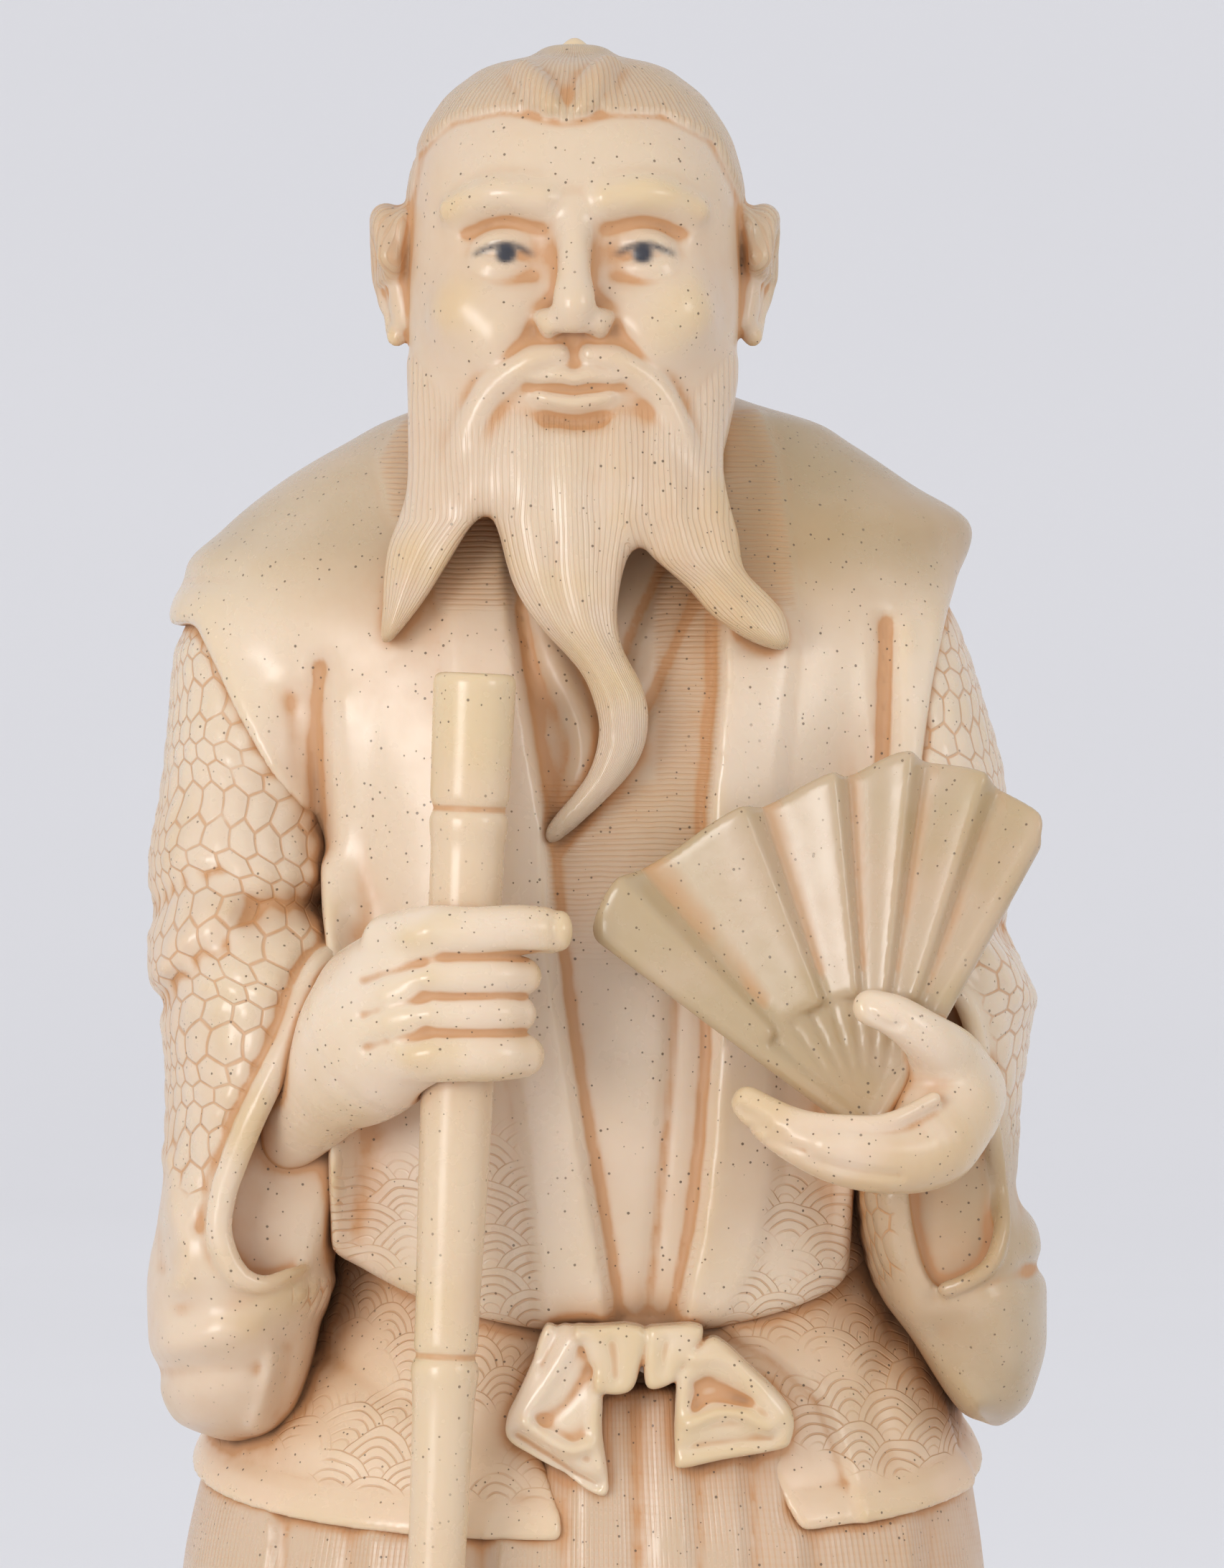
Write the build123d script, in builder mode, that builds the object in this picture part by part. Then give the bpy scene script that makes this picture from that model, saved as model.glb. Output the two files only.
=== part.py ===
from build123d import *

import os
from math import acos, cos, radians, sin, tan

# Standing elder with a staff and a fan: a carving for a table or an alcove.
# It is built in sections, as carvings of small tusk, horn or bone are: each section is shaped by
# itself, scribed to its neighbour and held by a peg. Only the staff is loose: it stands in a socket
# in the base and draws up through the bored fist.
# The figure faces -Y with +Z up, and the origin is the middle of the base's underside.
# Sizes are in millimetres. Right and left are the figure's own, so the right hand is at -X.

os.makedirs("parts", exist_ok=True)

# Fits
peg_fit = 0.05  # radial glue gap round every peg
peg_end_gap = 0.3  # free depth past each end of a peg
scribe_gap = 0.1  # glue line between scribed sections
staff_fit = 0.1  # radial running gap of the staff, in the fist and in its socket

# Base: an oval plinth
base_half_width = 35.0
base_half_depth = 31.0
base_height = 8.0
base_top_round = 2.0
base_foot_round = 0.6

# Feet, in plain socks
foot_length = 24.0
foot_width = 9.0
foot_height = 6.0
foot_spread = 5.6  # from the middle of the figure to the middle of a foot
foot_round = 2.4
toe_reach = 3.0  # how far the toes show past the trousers' hem

# Pleated trousers
trouser_height = 55.0
trouser_hem_half_width = 31.0
trouser_hem_half_depth = 23.2
thigh_rise = 40.0  # from the hem up to the level where the cloth starts to draw in
thigh_half_width = 29.7
thigh_half_depth = 22.0
trouser_top_half_width = 27.0
trouser_top_half_depth = 20.0
pleat_depth = 0.9
pleat_width = 2.6
# Knife pleats: each a place across, as a share of the half width, and the side that laps over, 1 to the left
front_pleats = (
    (-0.77, -1),
    (-0.56, 1),
    (-0.23, 1),
    (-0.03, 1),
    (0.13, 1),
    (0.26, -1),
    (0.40, -1),
    (0.55, -1),
    (0.83, -1),
)
back_pleats = ((-0.68, 1), (-0.32, 1), (0.0, 1), (0.32, -1), (0.68, -1))

# Short skirt of the jacket, from its hem up to the sash
front_dip = 12.0  # degrees by which the hem and the sash sink towards the front
jacket_hem_half_width = 27.8
jacket_hem_half_depth = 20.9
jacket_flare_rise = 6.5
jacket_flare_half_width = 24.6
jacket_flare_half_depth = 18.9
waist_rise = 6.5
waist_half_width = 19.2
waist_half_depth = 16.0
fronts_rise = 4.5  # the jacket's fronts part this far above the hem's middle, under the bow
fronts_top_half_width = 6.8
fronts_foot_half_width = 10.6
fronts_depth = 5.5  # how deep the parting is cut behind the hem's front edge
tongue_sink = 1.3  # the trousers' cloth shows this far back in the parting

# Torso with the sleeveless vest over it: each level rises from the one below
belly_rise = 9.0
belly_half_width = 21.0
belly_front = 19.2
belly_back = 18.0
chest_rise = 21.0
chest_half_width = 21.7
chest_front = 19.8
chest_back = 19.2
armpit_rise = 10.0
armpit_half_width = 25.4
armpit_front = 18.8
armpit_back = 20.0
shoulder_rise = 7.5
shoulder_half_width = 28.4
shoulder_front = 16.4
shoulder_back = 19.8
shoulder_shift = -1.0  # the right shoulder hangs further out than the left
slope_rise = 7.0
slope_half_width = 23.0
slope_front = 12.0
slope_back = 17.4
collar_rise = 6.5
collar_half_width = 10.6
collar_front = 7.4
collar_back = 12.0
lapel_depth = 0.9  # the vest's fronts stand this far proud of the robe under them
lapel_half_width = 9.5
lapel_foot_half_width = 1.5
lapel_foot_rise = 4.0  # above the sash

# Sleeves: each level is a rise above the sash, then how far it reaches out, in, forward and back
right_sleeve_levels = (
    (-10.6, 27.6, 20.6, 13.0, 1.0),
    (-1.0, 30.8, 17.8, 19.6, 5.0),
    (10.0, 29.1, 15.6, 21.0, 6.8),
    (24.0, 30.5, 15.4, 20.0, 8.4),
    (35.0, 29.6, 17.2, 13.6, 9.6),
    (46.0, 27.0, 20.6, 7.0, 8.6),
)
left_sleeve_levels = (
    (-10.0, 31.0, 25.5, 12.0, 2.0),
    (-1.0, 32.2, 20.5, 18.5, 4.8),
    (8.0, 30.3, 18.6, 20.2, 6.5),
    (19.0, 31.0, 17.0, 20.4, 8.0),
    (31.0, 29.7, 17.2, 15.2, 9.2),
    (47.0, 25.6, 19.0, 7.0, 8.0),
)
sleeve_foot_round = 1.6
right_cuff_out = 19.8
right_cuff_rise = 12.0
right_cuff_half_length = 12.5
right_cuff_half_width = 3.8
right_cuff_turn = -17.0
right_cuff_floor = 13.4  # how far in front of the body's middle the cuff's mouth ends
left_cuff_out = 24.0
left_cuff_rise = 11.0
left_cuff_half_length = 10.5
left_cuff_half_width = 3.8
left_cuff_turn = 12.0
left_cuff_floor = 15.0

# Head, with its beard in one with it: each level rises from the one below
chin_drop = 4.0  # the chin hangs this far below the collar's top
head_shift = -0.6
chin_reach = 13.4  # from the body's middle forward to the middle of the level
chin_half_width = 9.6
chin_half_depth = 6.4
jaw_rise = 4.0
jaw_reach = 11.0
jaw_half_width = 11.1
jaw_half_depth = 9.0
cheek_rise = 5.0
cheek_reach = 9.2
cheek_half_width = 11.4
cheek_half_depth = 10.7
temple_rise = 6.0
skull_reach = 7.7
skull_half_width = 11.5
skull_half_depth = 11.9
brow_rise = 6.0
brow_half_width = 10.8
brow_half_depth = 11.6
hairline_rise = 5.0
hairline_half_width = 7.6
hairline_half_depth = 8.2
crown_rise = 2.4
crown_half_width = 3.0
crown_half_depth = 3.6
ear_height = 9.0
ear_depth = 5.4
ear_thickness = 1.8
ear_sink = 1.0
ear_round = 0.8
nose_length = 5.4
nose_reach = 1.9
nose_half_width = 1.8
neck_radius = 6.0
neck_sink = 5.0  # how deep the neck's end sits in the collar
neck_back = 0.8  # the neck's axis is this far behind the body's middle
nape_radius = 5.2
nape_reach = 2.2
topknot_radius = 1.5
topknot_height = 2.2
topknot_pin_radius = 0.6
topknot_pin_length = 2.0
topknot_back = 1.4  # behind the skull's middle

# Beard: each lock is a row of levels, a drop below the chin, then across, forward, and two half sizes
middle_lock = (
    (-5.0, 0.0, 13.0, 5.6, 4.4),
    (1.0, 0.0, 17.4, 6.2, 3.4),
    (6.5, -0.2, 20.0, 4.2, 2.5),
    (12.0, 0.2, 21.0, 3.5, 2.1),
    (16.5, 2.4, 21.0, 2.5, 1.8),
    (21.0, 2.6, 20.8, 2.1, 1.6),
    (24.5, 0.4, 20.6, 1.3, 1.1),
    (26.5, -1.0, 20.3, 0.5, 0.5),
)
right_lock = (
    (-7.0, -5.2, 11.0, 3.6, 4.4),
    (-1.0, -7.4, 14.8, 3.9, 3.4),
    (4.0, -9.2, 17.0, 3.4, 2.6),
    (8.0, -10.8, 17.8, 2.4, 1.9),
    (11.0, -12.4, 17.6, 1.2, 1.0),
    (12.8, -13.1, 17.3, 0.4, 0.4),
)
left_lock = (
    (-7.0, 5.2, 11.0, 3.6, 4.4),
    (-1.0, 7.4, 14.8, 3.8, 3.4),
    (4.0, 8.8, 17.0, 3.2, 2.6),
    (7.5, 10.0, 18.0, 2.3, 1.9),
    (10.5, 12.2, 17.4, 1.5, 1.2),
    (12.8, 14.4, 16.4, 0.4, 0.4),
)

# Staff, a cane of bamboo
staff_above_grip = 22.2
staff_foot_radius = 1.6
staff_grip_radius = 2.55
staff_top_radius = 2.65
staff_top_round = 0.8
socket_depth = 2.5
cane_groove = 0.25
cane_groove_half = 0.4
cane_joints = (31.0, 72.5, 109.5)  # along the staff, from its foot
fist_rise = 20.0  # above the sash
fist_out = 8.4  # from the middle of the figure
fist_front = 25.2
staff_foot_out = 12.6
staff_foot_front = 24.8

# Right hand, a fist round the staff
finger_radius = 1.65
finger_pitch = 2.85
finger_tip_round = 1.2
finger_wrap_from = 165.0  # degrees round the staff, counted from the figure's left
finger_rows = (2.25, 1.5, 0.5, -0.5, -1.5)  # thumb first, in pitches from the middle of the fist
finger_turns = (190.0, 235.0, 225.0, 225.0, 225.0)  # degrees that each wraps round the staff
fist_bore_reach = 16.0  # how far the bore is cut each way from the middle of the fist
wrist_half_height = 5.2
wrist_half_depth = 3.2
knuckle_half_height = 6.2
knuckle_half_depth = 2.8
knuckle_turn = 200.0
right_wrist_lift = 2.6

# Folding fan, open, and the left hand that holds it
fan_out = 19.6
fan_front = 26.2
fan_rise = 10.4  # the fan's pivot above the sash
fan_lean = 7.0  # degrees that the leaf leans back
fan_from = 61.0
fan_to = 144.0
fan_pleats = 8
fan_radius = 25.8
fan_leaf_start = 8.0
fan_boss_radius = 1.6
fan_thickness = 1.0
fan_pleat_rise = 1.9  # from a fold's foot to its crest, at the rim
fan_stick_width = 0.9
fan_stick_sink = 1.5  # how far a stick runs into the leaf
left_hand_levels = (  # from the fan's pivot: across, back and up, then the half height and half depth
    (4.6, 1.0, 0.6, 4.4, 3.4),
    (1.4, -2.2, -0.9, 3.3, 2.7),
    (-2.6, -3.0, -0.6, 2.8, 2.4),
    (-6.2, -2.5, 1.0, 2.2, 2.0),
    (-9.0, -1.4, 2.6, 1.2, 1.1),
)
left_wrist_up = 0.6
left_thumb_radius = 2.0
left_thumb_points = ((5.2, 1.0, 2.6), (4.4, -3.4, 6.4), (-0.8, -3.4, 9.0))

# Sash bow: outlines across and up from the middle of the bow
bow_shift = 4.4
bow_drop = 5.2  # below the sash
bow_front = 22.2
bow_knot_proud = 0.8
bow_round = 0.7
bow_corner_round = 0.9
right_loop = ((-0.4, 1.4), (-4.6, 1.8), (-8.8, 0.8), (-9.6, -4.0), (-8.4, -7.0), (-3.0, -8.6), (-2.6, -2.4))
left_loop = ((1.6, 0.6), (4.8, 0.9), (9.4, -2.0), (10.0, -5.6), (8.0, -7.4), (2.0, -7.6), (1.2, -3.0))
bow_knot = ((-4.4, 1.9), (3.8, 1.9), (3.0, -2.0), (-0.2, -2.9), (-3.4, -2.0))

# Pegs
spine_peg_radius = 4.0
spine_peg_sink = 12.0
neck_peg_radius = 2.2
neck_peg_sink = 7.0
sleeve_peg_radius = 1.5
sleeve_peg_length = 13.0
sleeve_peg_rise = 30.0
sleeve_peg_front = 2.0
wrist_peg_radius = 1.0
wrist_peg_length = 7.0
foot_peg_radius = 1.5
foot_peg_sink = 5.0
bow_peg_radius = 0.9
bow_peg_length = 4.0

# Heights that follow from the stack of sections
base_top = base_height
trouser_hem = base_top + foot_height
thigh = trouser_hem + thigh_rise
jacket_hem = trouser_hem + trouser_height
jacket_flare = jacket_hem + jacket_flare_rise
sash = jacket_flare + waist_rise
belly = sash + belly_rise
chest = belly + chest_rise
armpit = chest + armpit_rise
shoulder = armpit + shoulder_rise
slope = shoulder + slope_rise
collar = slope + collar_rise
chin = collar - chin_drop
jaw = chin + jaw_rise
cheek = jaw + cheek_rise
temple = cheek + temple_rise
brow = temple + brow_rise
hairline = brow + hairline_rise
crown = hairline + crown_rise

# The staff's line runs from its socket in the base through the middle of the fist
grip = Vector(-fist_out, -fist_front, sash + fist_rise)
staff_foot = Vector(-staff_foot_out, -staff_foot_front, base_top - socket_depth)
staff_line = (grip - staff_foot).normalized()
staff_grip_length = (grip - staff_foot).length
staff_length = staff_grip_length + staff_above_grip
fan_pivot = Vector(fan_out, -fan_front, sash + fan_rise)


def level(height, reach=0.0, shift=0.0):
    """A flat level, moved forward and across to the middle of an oval."""
    return Plane((shift, -reach, height))


def dipped(height):
    """A level that sinks towards the front, as the hem and the sash do."""
    tilt = radians(front_dip)
    return Plane((0, 0, height), x_dir=(1, 0, 0), z_dir=(0, -sin(tilt), cos(tilt)))


def across(point, direction, upward=(0, 0, 1)):
    """A plane across a limb or a staff: its Z runs along, and its X as nearly upward as it can."""
    along = Vector(direction).normalized()
    rise = Vector(upward) - along * along.dot(Vector(upward))
    return Plane(Vector(point), x_dir=rise.normalized(), z_dir=along)


staff_plane = across(staff_foot, staff_line, upward=(1, 0, 0))
grip_plane = across(grip, staff_line, upward=(1, 0, 0))


def oval_loft(levels):
    """A solid through ovals, each given as its plane, half width and half depth, from the lowest up."""
    with BuildPart() as form:
        for plane, half_width, half_depth in levels:
            with BuildSketch(plane):
                Ellipse(half_width, half_depth)
        loft()
    return form.part


def trouser_form(margin):
    """The trousers without their pleats, grown by a margin for what is scribed to them."""
    return oval_loft(
        (
            (level(trouser_hem), trouser_hem_half_width + margin, trouser_hem_half_depth + margin),
            (level(thigh), thigh_half_width + margin, thigh_half_depth + margin),
            (dipped(jacket_hem + margin), trouser_top_half_width + margin, trouser_top_half_depth + margin),
        )
    )


def jacket_form(margin):
    """The jacket's skirt, grown by a margin for what is scribed to it."""
    return oval_loft(
        (
            (dipped(jacket_hem - margin), jacket_hem_half_width + margin, jacket_hem_half_depth + margin),
            (dipped(jacket_flare), jacket_flare_half_width + margin, jacket_flare_half_depth + margin),
            (dipped(sash + margin), waist_half_width + margin, waist_half_depth + margin),
        )
    )


def torso_form(margin):
    """The torso's outer form, grown or shrunk by a margin."""
    levels = (
        (belly, belly_half_width, belly_front, belly_back, 0),
        (chest, chest_half_width, chest_front, chest_back, 0),
        (armpit, armpit_half_width, armpit_front, armpit_back, shoulder_shift / 2),
        (shoulder, shoulder_half_width, shoulder_front, shoulder_back, shoulder_shift),
        (slope, slope_half_width, slope_front, slope_back, 0),
        (collar + margin, collar_half_width, collar_front, collar_back, head_shift),
    )
    return oval_loft(
        [(dipped(sash - margin), waist_half_width + margin, waist_half_depth + margin)]
        + [
            (level(height, (front - back) / 2, shift), half_width + margin, (front + back) / 2 + margin)
            for height, half_width, front, back, shift in levels
        ]
    )


def sleeve_form(side, levels, cuff, margin):
    """A hanging sleeve with its cuff's mouth sunk into the front, grown by a margin."""
    cuff_out, cuff_rise, half_length, half_width, turn, floor = cuff
    hanging = oval_loft(
        [
            (
                level(sash + rise, (front - back) / 2, side * (outer + inner) / 2),
                (outer - inner) / 2 + margin,
                (front + back) / 2 + margin,
            )
            for rise, outer, inner, front, back in levels
        ]
    )
    with BuildPart() as form:
        add(hanging)
        fillet(form.edges().group_by(Axis.Z)[0], sleeve_foot_round)
        with BuildSketch(Plane((side * cuff_out, -floor - margin, sash + cuff_rise), z_dir=(0, -1, 0))):
            Ellipse(half_width - margin, half_length - margin, rotation=turn)
        extrude(amount=base_half_depth, mode=Mode.SUBTRACT)
    return form.part


def fronts_wedge(margin):
    """The parting of the jacket's fronts, an upright wedge under the bow, shrunk by a margin."""
    front = margin + jacket_hem_half_depth - fronts_depth
    with BuildPart() as form:
        with BuildSketch(Plane((bow_shift, -front, jacket_hem), x_dir=(1, 0, 0), z_dir=(0, -1, 0))):
            with BuildLine():
                Polyline(
                    (margin - fronts_top_half_width, fronts_rise - margin),
                    (fronts_top_half_width - margin, fronts_rise - margin),
                    (fronts_foot_half_width - margin, -jacket_flare_rise),
                    (margin - fronts_foot_half_width, -jacket_flare_rise),
                    close=True,
                )
            make_face()
        extrude(amount=base_half_depth)
    return form.part


def peg(plane, radius, length):
    """A straight peg that starts on a plane."""
    with BuildPart() as pin:
        with BuildSketch(plane):
            Circle(radius)
        extrude(amount=length)
    return pin.part


def peg_hole(plane, radius, length):
    """The space that a peg takes up, with its glue gap and the free depth at both ends."""
    return peg(plane.offset(-peg_end_gap), radius + peg_fit, length + 2 * peg_end_gap)


# Places of the pegs, each a plane at the peg's end
foot_middle = toe_reach + trouser_hem_half_depth - foot_length / 2
foot_peg_planes = [
    level(base_top - foot_peg_sink, foot_middle - foot_length / 4, side * foot_spread) for side in (-1, 1)
]
foot_peg_length = foot_height + 2 * foot_peg_sink
spine_plane = level(jacket_hem - spine_peg_sink)
spine_peg_length = sash - jacket_hem + 2 * spine_peg_sink
neck_plane = level(collar - neck_sink - neck_peg_sink, -neck_back, head_shift)
neck_peg_length = 2 * neck_peg_sink
sleeve_peg_start = chest_half_width - sleeve_peg_length / 2
sleeve_peg_planes = [
    Plane((side * sleeve_peg_start, -sleeve_peg_front, sash + sleeve_peg_rise), z_dir=(side, 0, 0))
    for side in (-1, 1)
]
grip_radius = staff_grip_radius + staff_fit
bow_peg_plane = Plane(
    (bow_shift, -jacket_flare_half_depth + bow_peg_length / 2, sash - bow_drop), z_dir=(0, -1, 0)
)

# Base
with BuildPart() as base_plinth:
    with BuildSketch():
        Ellipse(base_half_width, base_half_depth)
    extrude(amount=base_height)
    fillet(base_plinth.edges().group_by(Axis.Z)[-1], base_top_round)
    fillet(base_plinth.edges().group_by(Axis.Z)[0], base_foot_round)
    for plane in foot_peg_planes:
        add(peg_hole(plane, foot_peg_radius, foot_peg_length), mode=Mode.SUBTRACT)
    with BuildSketch(staff_plane):
        Circle(staff_foot_radius + staff_fit)
    extrude(amount=base_height, mode=Mode.SUBTRACT)
base_plinth.part.label = "base_plinth"
export_step(base_plinth.part, "parts/base_plinth.step")

# Feet and the pegs that hold them between the base and the trousers
for side, foot_side, plane in zip((-1, 1), ("right", "left"), foot_peg_planes):
    with BuildPart() as foot:
        with BuildSketch(level(base_top, foot_middle, side * foot_spread)):
            SlotOverall(foot_length, foot_width, rotation=90)
        extrude(amount=foot_height)
        fillet(foot.edges().group_by(Axis.Z)[-1], foot_round)
        add(peg_hole(plane, foot_peg_radius, foot_peg_length), mode=Mode.SUBTRACT)
    foot.part.label = f"{foot_side}_foot"
    export_step(foot.part, f"parts/{foot_side}_foot.step")

    with BuildPart() as foot_peg:
        add(peg(plane, foot_peg_radius, foot_peg_length))
    foot_peg.part.label = f"{foot_side}_foot_peg"
    export_step(foot_peg.part, f"parts/{foot_side}_foot_peg.step")


# Trousers
def pleat_corners(share, lap, half_width, half_depth, to_front):
    """The corners of a knife pleat's groove on one level: its root, and its lip on both sides."""
    turn = to_front * acos(share)
    on_oval = Vector(half_width * cos(turn), half_depth * sin(turn))
    outward = Vector(cos(turn) / half_width, sin(turn) / half_depth).normalized()
    leftward = Vector(-outward.Y, outward.X) * -to_front
    lip = on_oval + outward * pleat_depth
    return on_oval - outward * pleat_depth, lip, lip - leftward * lap * 2 * pleat_width


trouser_sections = (
    (level(trouser_hem), trouser_hem_half_width, trouser_hem_half_depth),
    (level(thigh), thigh_half_width, thigh_half_depth),
    (dipped(jacket_hem), trouser_top_half_width, trouser_top_half_depth),
)
tongue_top = (jacket_flare_half_width - tongue_sink, jacket_flare_half_depth - tongue_sink)
tongue_form = oval_loft(
    (
        (dipped(jacket_hem - tongue_sink), trouser_top_half_width, trouser_top_half_depth),
        (dipped(jacket_flare), *tongue_top),
    )
)
with BuildPart() as tongue:
    add(tongue_form)
    add(fronts_wedge(scribe_gap), mode=Mode.INTERSECT)

with BuildPart() as trousers:
    add(trouser_form(0))
    pleats = [(*pleat, -1) for pleat in front_pleats] + [(*pleat, 1) for pleat in back_pleats]
    for share, lap, to_front in pleats:
        for plane, half_width, half_depth in trouser_sections:
            with BuildSketch(plane):
                with BuildLine():
                    Polyline(*pleat_corners(share, lap, half_width, half_depth, to_front), close=True)
                make_face()
        loft(mode=Mode.SUBTRACT)
    add(tongue.part)
    for plane in foot_peg_planes:
        add(peg_hole(plane, foot_peg_radius, foot_peg_length), mode=Mode.SUBTRACT)
    add(peg_hole(spine_plane, spine_peg_radius, spine_peg_length), mode=Mode.SUBTRACT)
trousers.part.label = "trousers"
export_step(trousers.part, "parts/trousers.step")

# Jacket's skirt
with BuildPart() as jacket_skirt:
    add(jacket_form(0))
    add(fronts_wedge(0), mode=Mode.SUBTRACT)
    add(peg_hole(spine_plane, spine_peg_radius, spine_peg_length), mode=Mode.SUBTRACT)
    add(peg_hole(bow_peg_plane, bow_peg_radius, bow_peg_length), mode=Mode.SUBTRACT)
jacket_skirt.part.label = "jacket_skirt"
export_step(jacket_skirt.part, "parts/jacket_skirt.step")

# Torso: the robe shows in a long V between the vest's fronts
with BuildPart() as neckline:
    with BuildSketch(Plane.XZ):
        with BuildLine():
            Polyline(
                (bow_shift - lapel_foot_half_width, sash + lapel_foot_rise),
                (bow_shift + lapel_foot_half_width, sash + lapel_foot_rise),
                (head_shift + lapel_half_width, shoulder),
                (head_shift + lapel_half_width, collar + lapel_depth),
                (head_shift - lapel_half_width, collar + lapel_depth),
                (head_shift - lapel_half_width, shoulder),
                close=True,
            )
        make_face()
    extrude(amount=base_half_depth)
    add(torso_form(-lapel_depth), mode=Mode.SUBTRACT)

with BuildPart() as torso:
    add(torso_form(0))
    add(neckline.part, mode=Mode.SUBTRACT)
    with BuildSketch(level(collar, -neck_back, head_shift)):
        Circle(neck_radius + scribe_gap)
    extrude(amount=-neck_sink, mode=Mode.SUBTRACT)
    add(peg_hole(spine_plane, spine_peg_radius, spine_peg_length), mode=Mode.SUBTRACT)
    add(peg_hole(neck_plane, neck_peg_radius, neck_peg_length), mode=Mode.SUBTRACT)
    for plane in sleeve_peg_planes:
        add(peg_hole(plane, sleeve_peg_radius, sleeve_peg_length), mode=Mode.SUBTRACT)
torso.part.label = "torso"
export_step(torso.part, "parts/torso.step")

# Sleeves, hung on a peg each and scribed to the torso and the jacket
right_cuff = (
    right_cuff_out,
    right_cuff_rise,
    right_cuff_half_length,
    right_cuff_half_width,
    right_cuff_turn,
    right_cuff_floor,
)
left_cuff = (
    left_cuff_out,
    left_cuff_rise,
    left_cuff_half_length,
    left_cuff_half_width,
    left_cuff_turn,
    left_cuff_floor,
)
wrap_radius = grip_radius + finger_radius
knuckles = grip_plane.from_local_coords(
    Vector(wrap_radius * cos(radians(knuckle_turn)), wrap_radius * sin(radians(knuckle_turn)), 0)
)
right_wrist = Vector(-right_cuff_out, -right_cuff_floor, sash + right_cuff_rise + right_wrist_lift)
left_wrist = Vector(left_cuff_out, -left_cuff_floor, sash + fan_rise + left_wrist_up)
left_palm = [fan_pivot + Vector(place[:3]) for place in left_hand_levels]
right_wrist_plane = across(right_wrist, knuckles - right_wrist)
left_wrist_plane = across(left_wrist, left_palm[0] - left_wrist)

sleeve_data = (
    ("right", -1, right_sleeve_levels, right_cuff, right_wrist_plane),
    ("left", 1, left_sleeve_levels, left_cuff, left_wrist_plane),
)
for (sleeve_name, side, levels, cuff, wrist_plane), sleeve_peg_plane in zip(sleeve_data, sleeve_peg_planes):
    wrist_peg_plane = wrist_plane.offset(-wrist_peg_length / 2)
    with BuildPart() as sleeve:
        add(sleeve_form(side, levels, cuff, 0))
        add(torso_form(scribe_gap), mode=Mode.SUBTRACT)
        add(jacket_form(scribe_gap), mode=Mode.SUBTRACT)
        add(trouser_form(scribe_gap), mode=Mode.SUBTRACT)
        add(peg_hole(sleeve_peg_plane, sleeve_peg_radius, sleeve_peg_length), mode=Mode.SUBTRACT)
        add(peg_hole(wrist_peg_plane, wrist_peg_radius, wrist_peg_length), mode=Mode.SUBTRACT)
    sleeve.part.label = f"{sleeve_name}_sleeve"
    export_step(sleeve.part, f"parts/{sleeve_name}_sleeve.step")

    with BuildPart() as sleeve_peg:
        add(peg(sleeve_peg_plane, sleeve_peg_radius, sleeve_peg_length))
    sleeve_peg.part.label = f"{sleeve_name}_sleeve_peg"
    export_step(sleeve_peg.part, f"parts/{sleeve_name}_sleeve_peg.step")

    with BuildPart() as wrist_peg:
        add(peg(wrist_peg_plane, wrist_peg_radius, wrist_peg_length))
    wrist_peg.part.label = f"{sleeve_name}_wrist_peg"
    export_step(wrist_peg.part, f"parts/{sleeve_name}_wrist_peg.step")


# Right hand: the back of the hand runs from the cuff to the knuckles, and the fingers wrap the staff
def finger(row, turn):
    """One finger, revolved about the staff's line, with a rounded tip."""
    row_plane = grip_plane.offset(row * finger_pitch).rotated((0, 0, finger_wrap_from))
    with BuildPart() as digit:
        with BuildSketch(Plane(row_plane.origin, x_dir=row_plane.x_dir, z_dir=-row_plane.y_dir)):
            with Locations((wrap_radius, 0)):
                Circle(finger_radius)
        revolve(axis=Axis(row_plane.origin, row_plane.z_dir), revolution_arc=turn)
        tip = digit.faces().filter_by(GeomType.PLANE).sort_by(Axis.X)[-1]
        fillet(tip.edges(), finger_tip_round)
    return digit.part


with BuildPart() as right_hand:
    with BuildSketch(right_wrist_plane.offset(-wrist_half_depth)):
        Ellipse(wrist_half_height, wrist_half_depth)
    with BuildSketch(right_wrist_plane.offset((knuckles - right_wrist).length)):
        Ellipse(knuckle_half_height, knuckle_half_depth)
    loft()
    for row, turn in zip(finger_rows, finger_turns):
        add(finger(row, turn))
    with BuildSketch(grip_plane.offset(-fist_bore_reach)):
        Circle(grip_radius)
    extrude(amount=2 * fist_bore_reach, mode=Mode.SUBTRACT)
    add(sleeve_form(-1, right_sleeve_levels, right_cuff, scribe_gap), mode=Mode.SUBTRACT)
    add(torso_form(scribe_gap), mode=Mode.SUBTRACT)
    right_wrist_peg_plane = right_wrist_plane.offset(-wrist_peg_length / 2)
    add(peg_hole(right_wrist_peg_plane, wrist_peg_radius, wrist_peg_length), mode=Mode.SUBTRACT)
right_hand.part.label = "right_hand"
export_step(right_hand.part, "parts/right_hand.step")

# Fan: folded into pleats, each a slab between two radii, on sticks that meet at the pivot
lean = radians(fan_lean)
fan_plane = Plane(fan_pivot, x_dir=(1, 0, 0), z_dir=(0, -cos(lean), sin(lean)))
pleat_angle = (fan_to - fan_from) / fan_pleats


def pleat_plane(middle, radius):
    """A plane across a pleat at a distance from the pivot: its X runs sideways and its Z outward."""
    outward = fan_plane.x_dir * cos(radians(middle)) + fan_plane.y_dir * sin(radians(middle))
    return Plane(fan_pivot + outward * radius, x_dir=fan_plane.z_dir.cross(outward) * -1, z_dir=outward)


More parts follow.
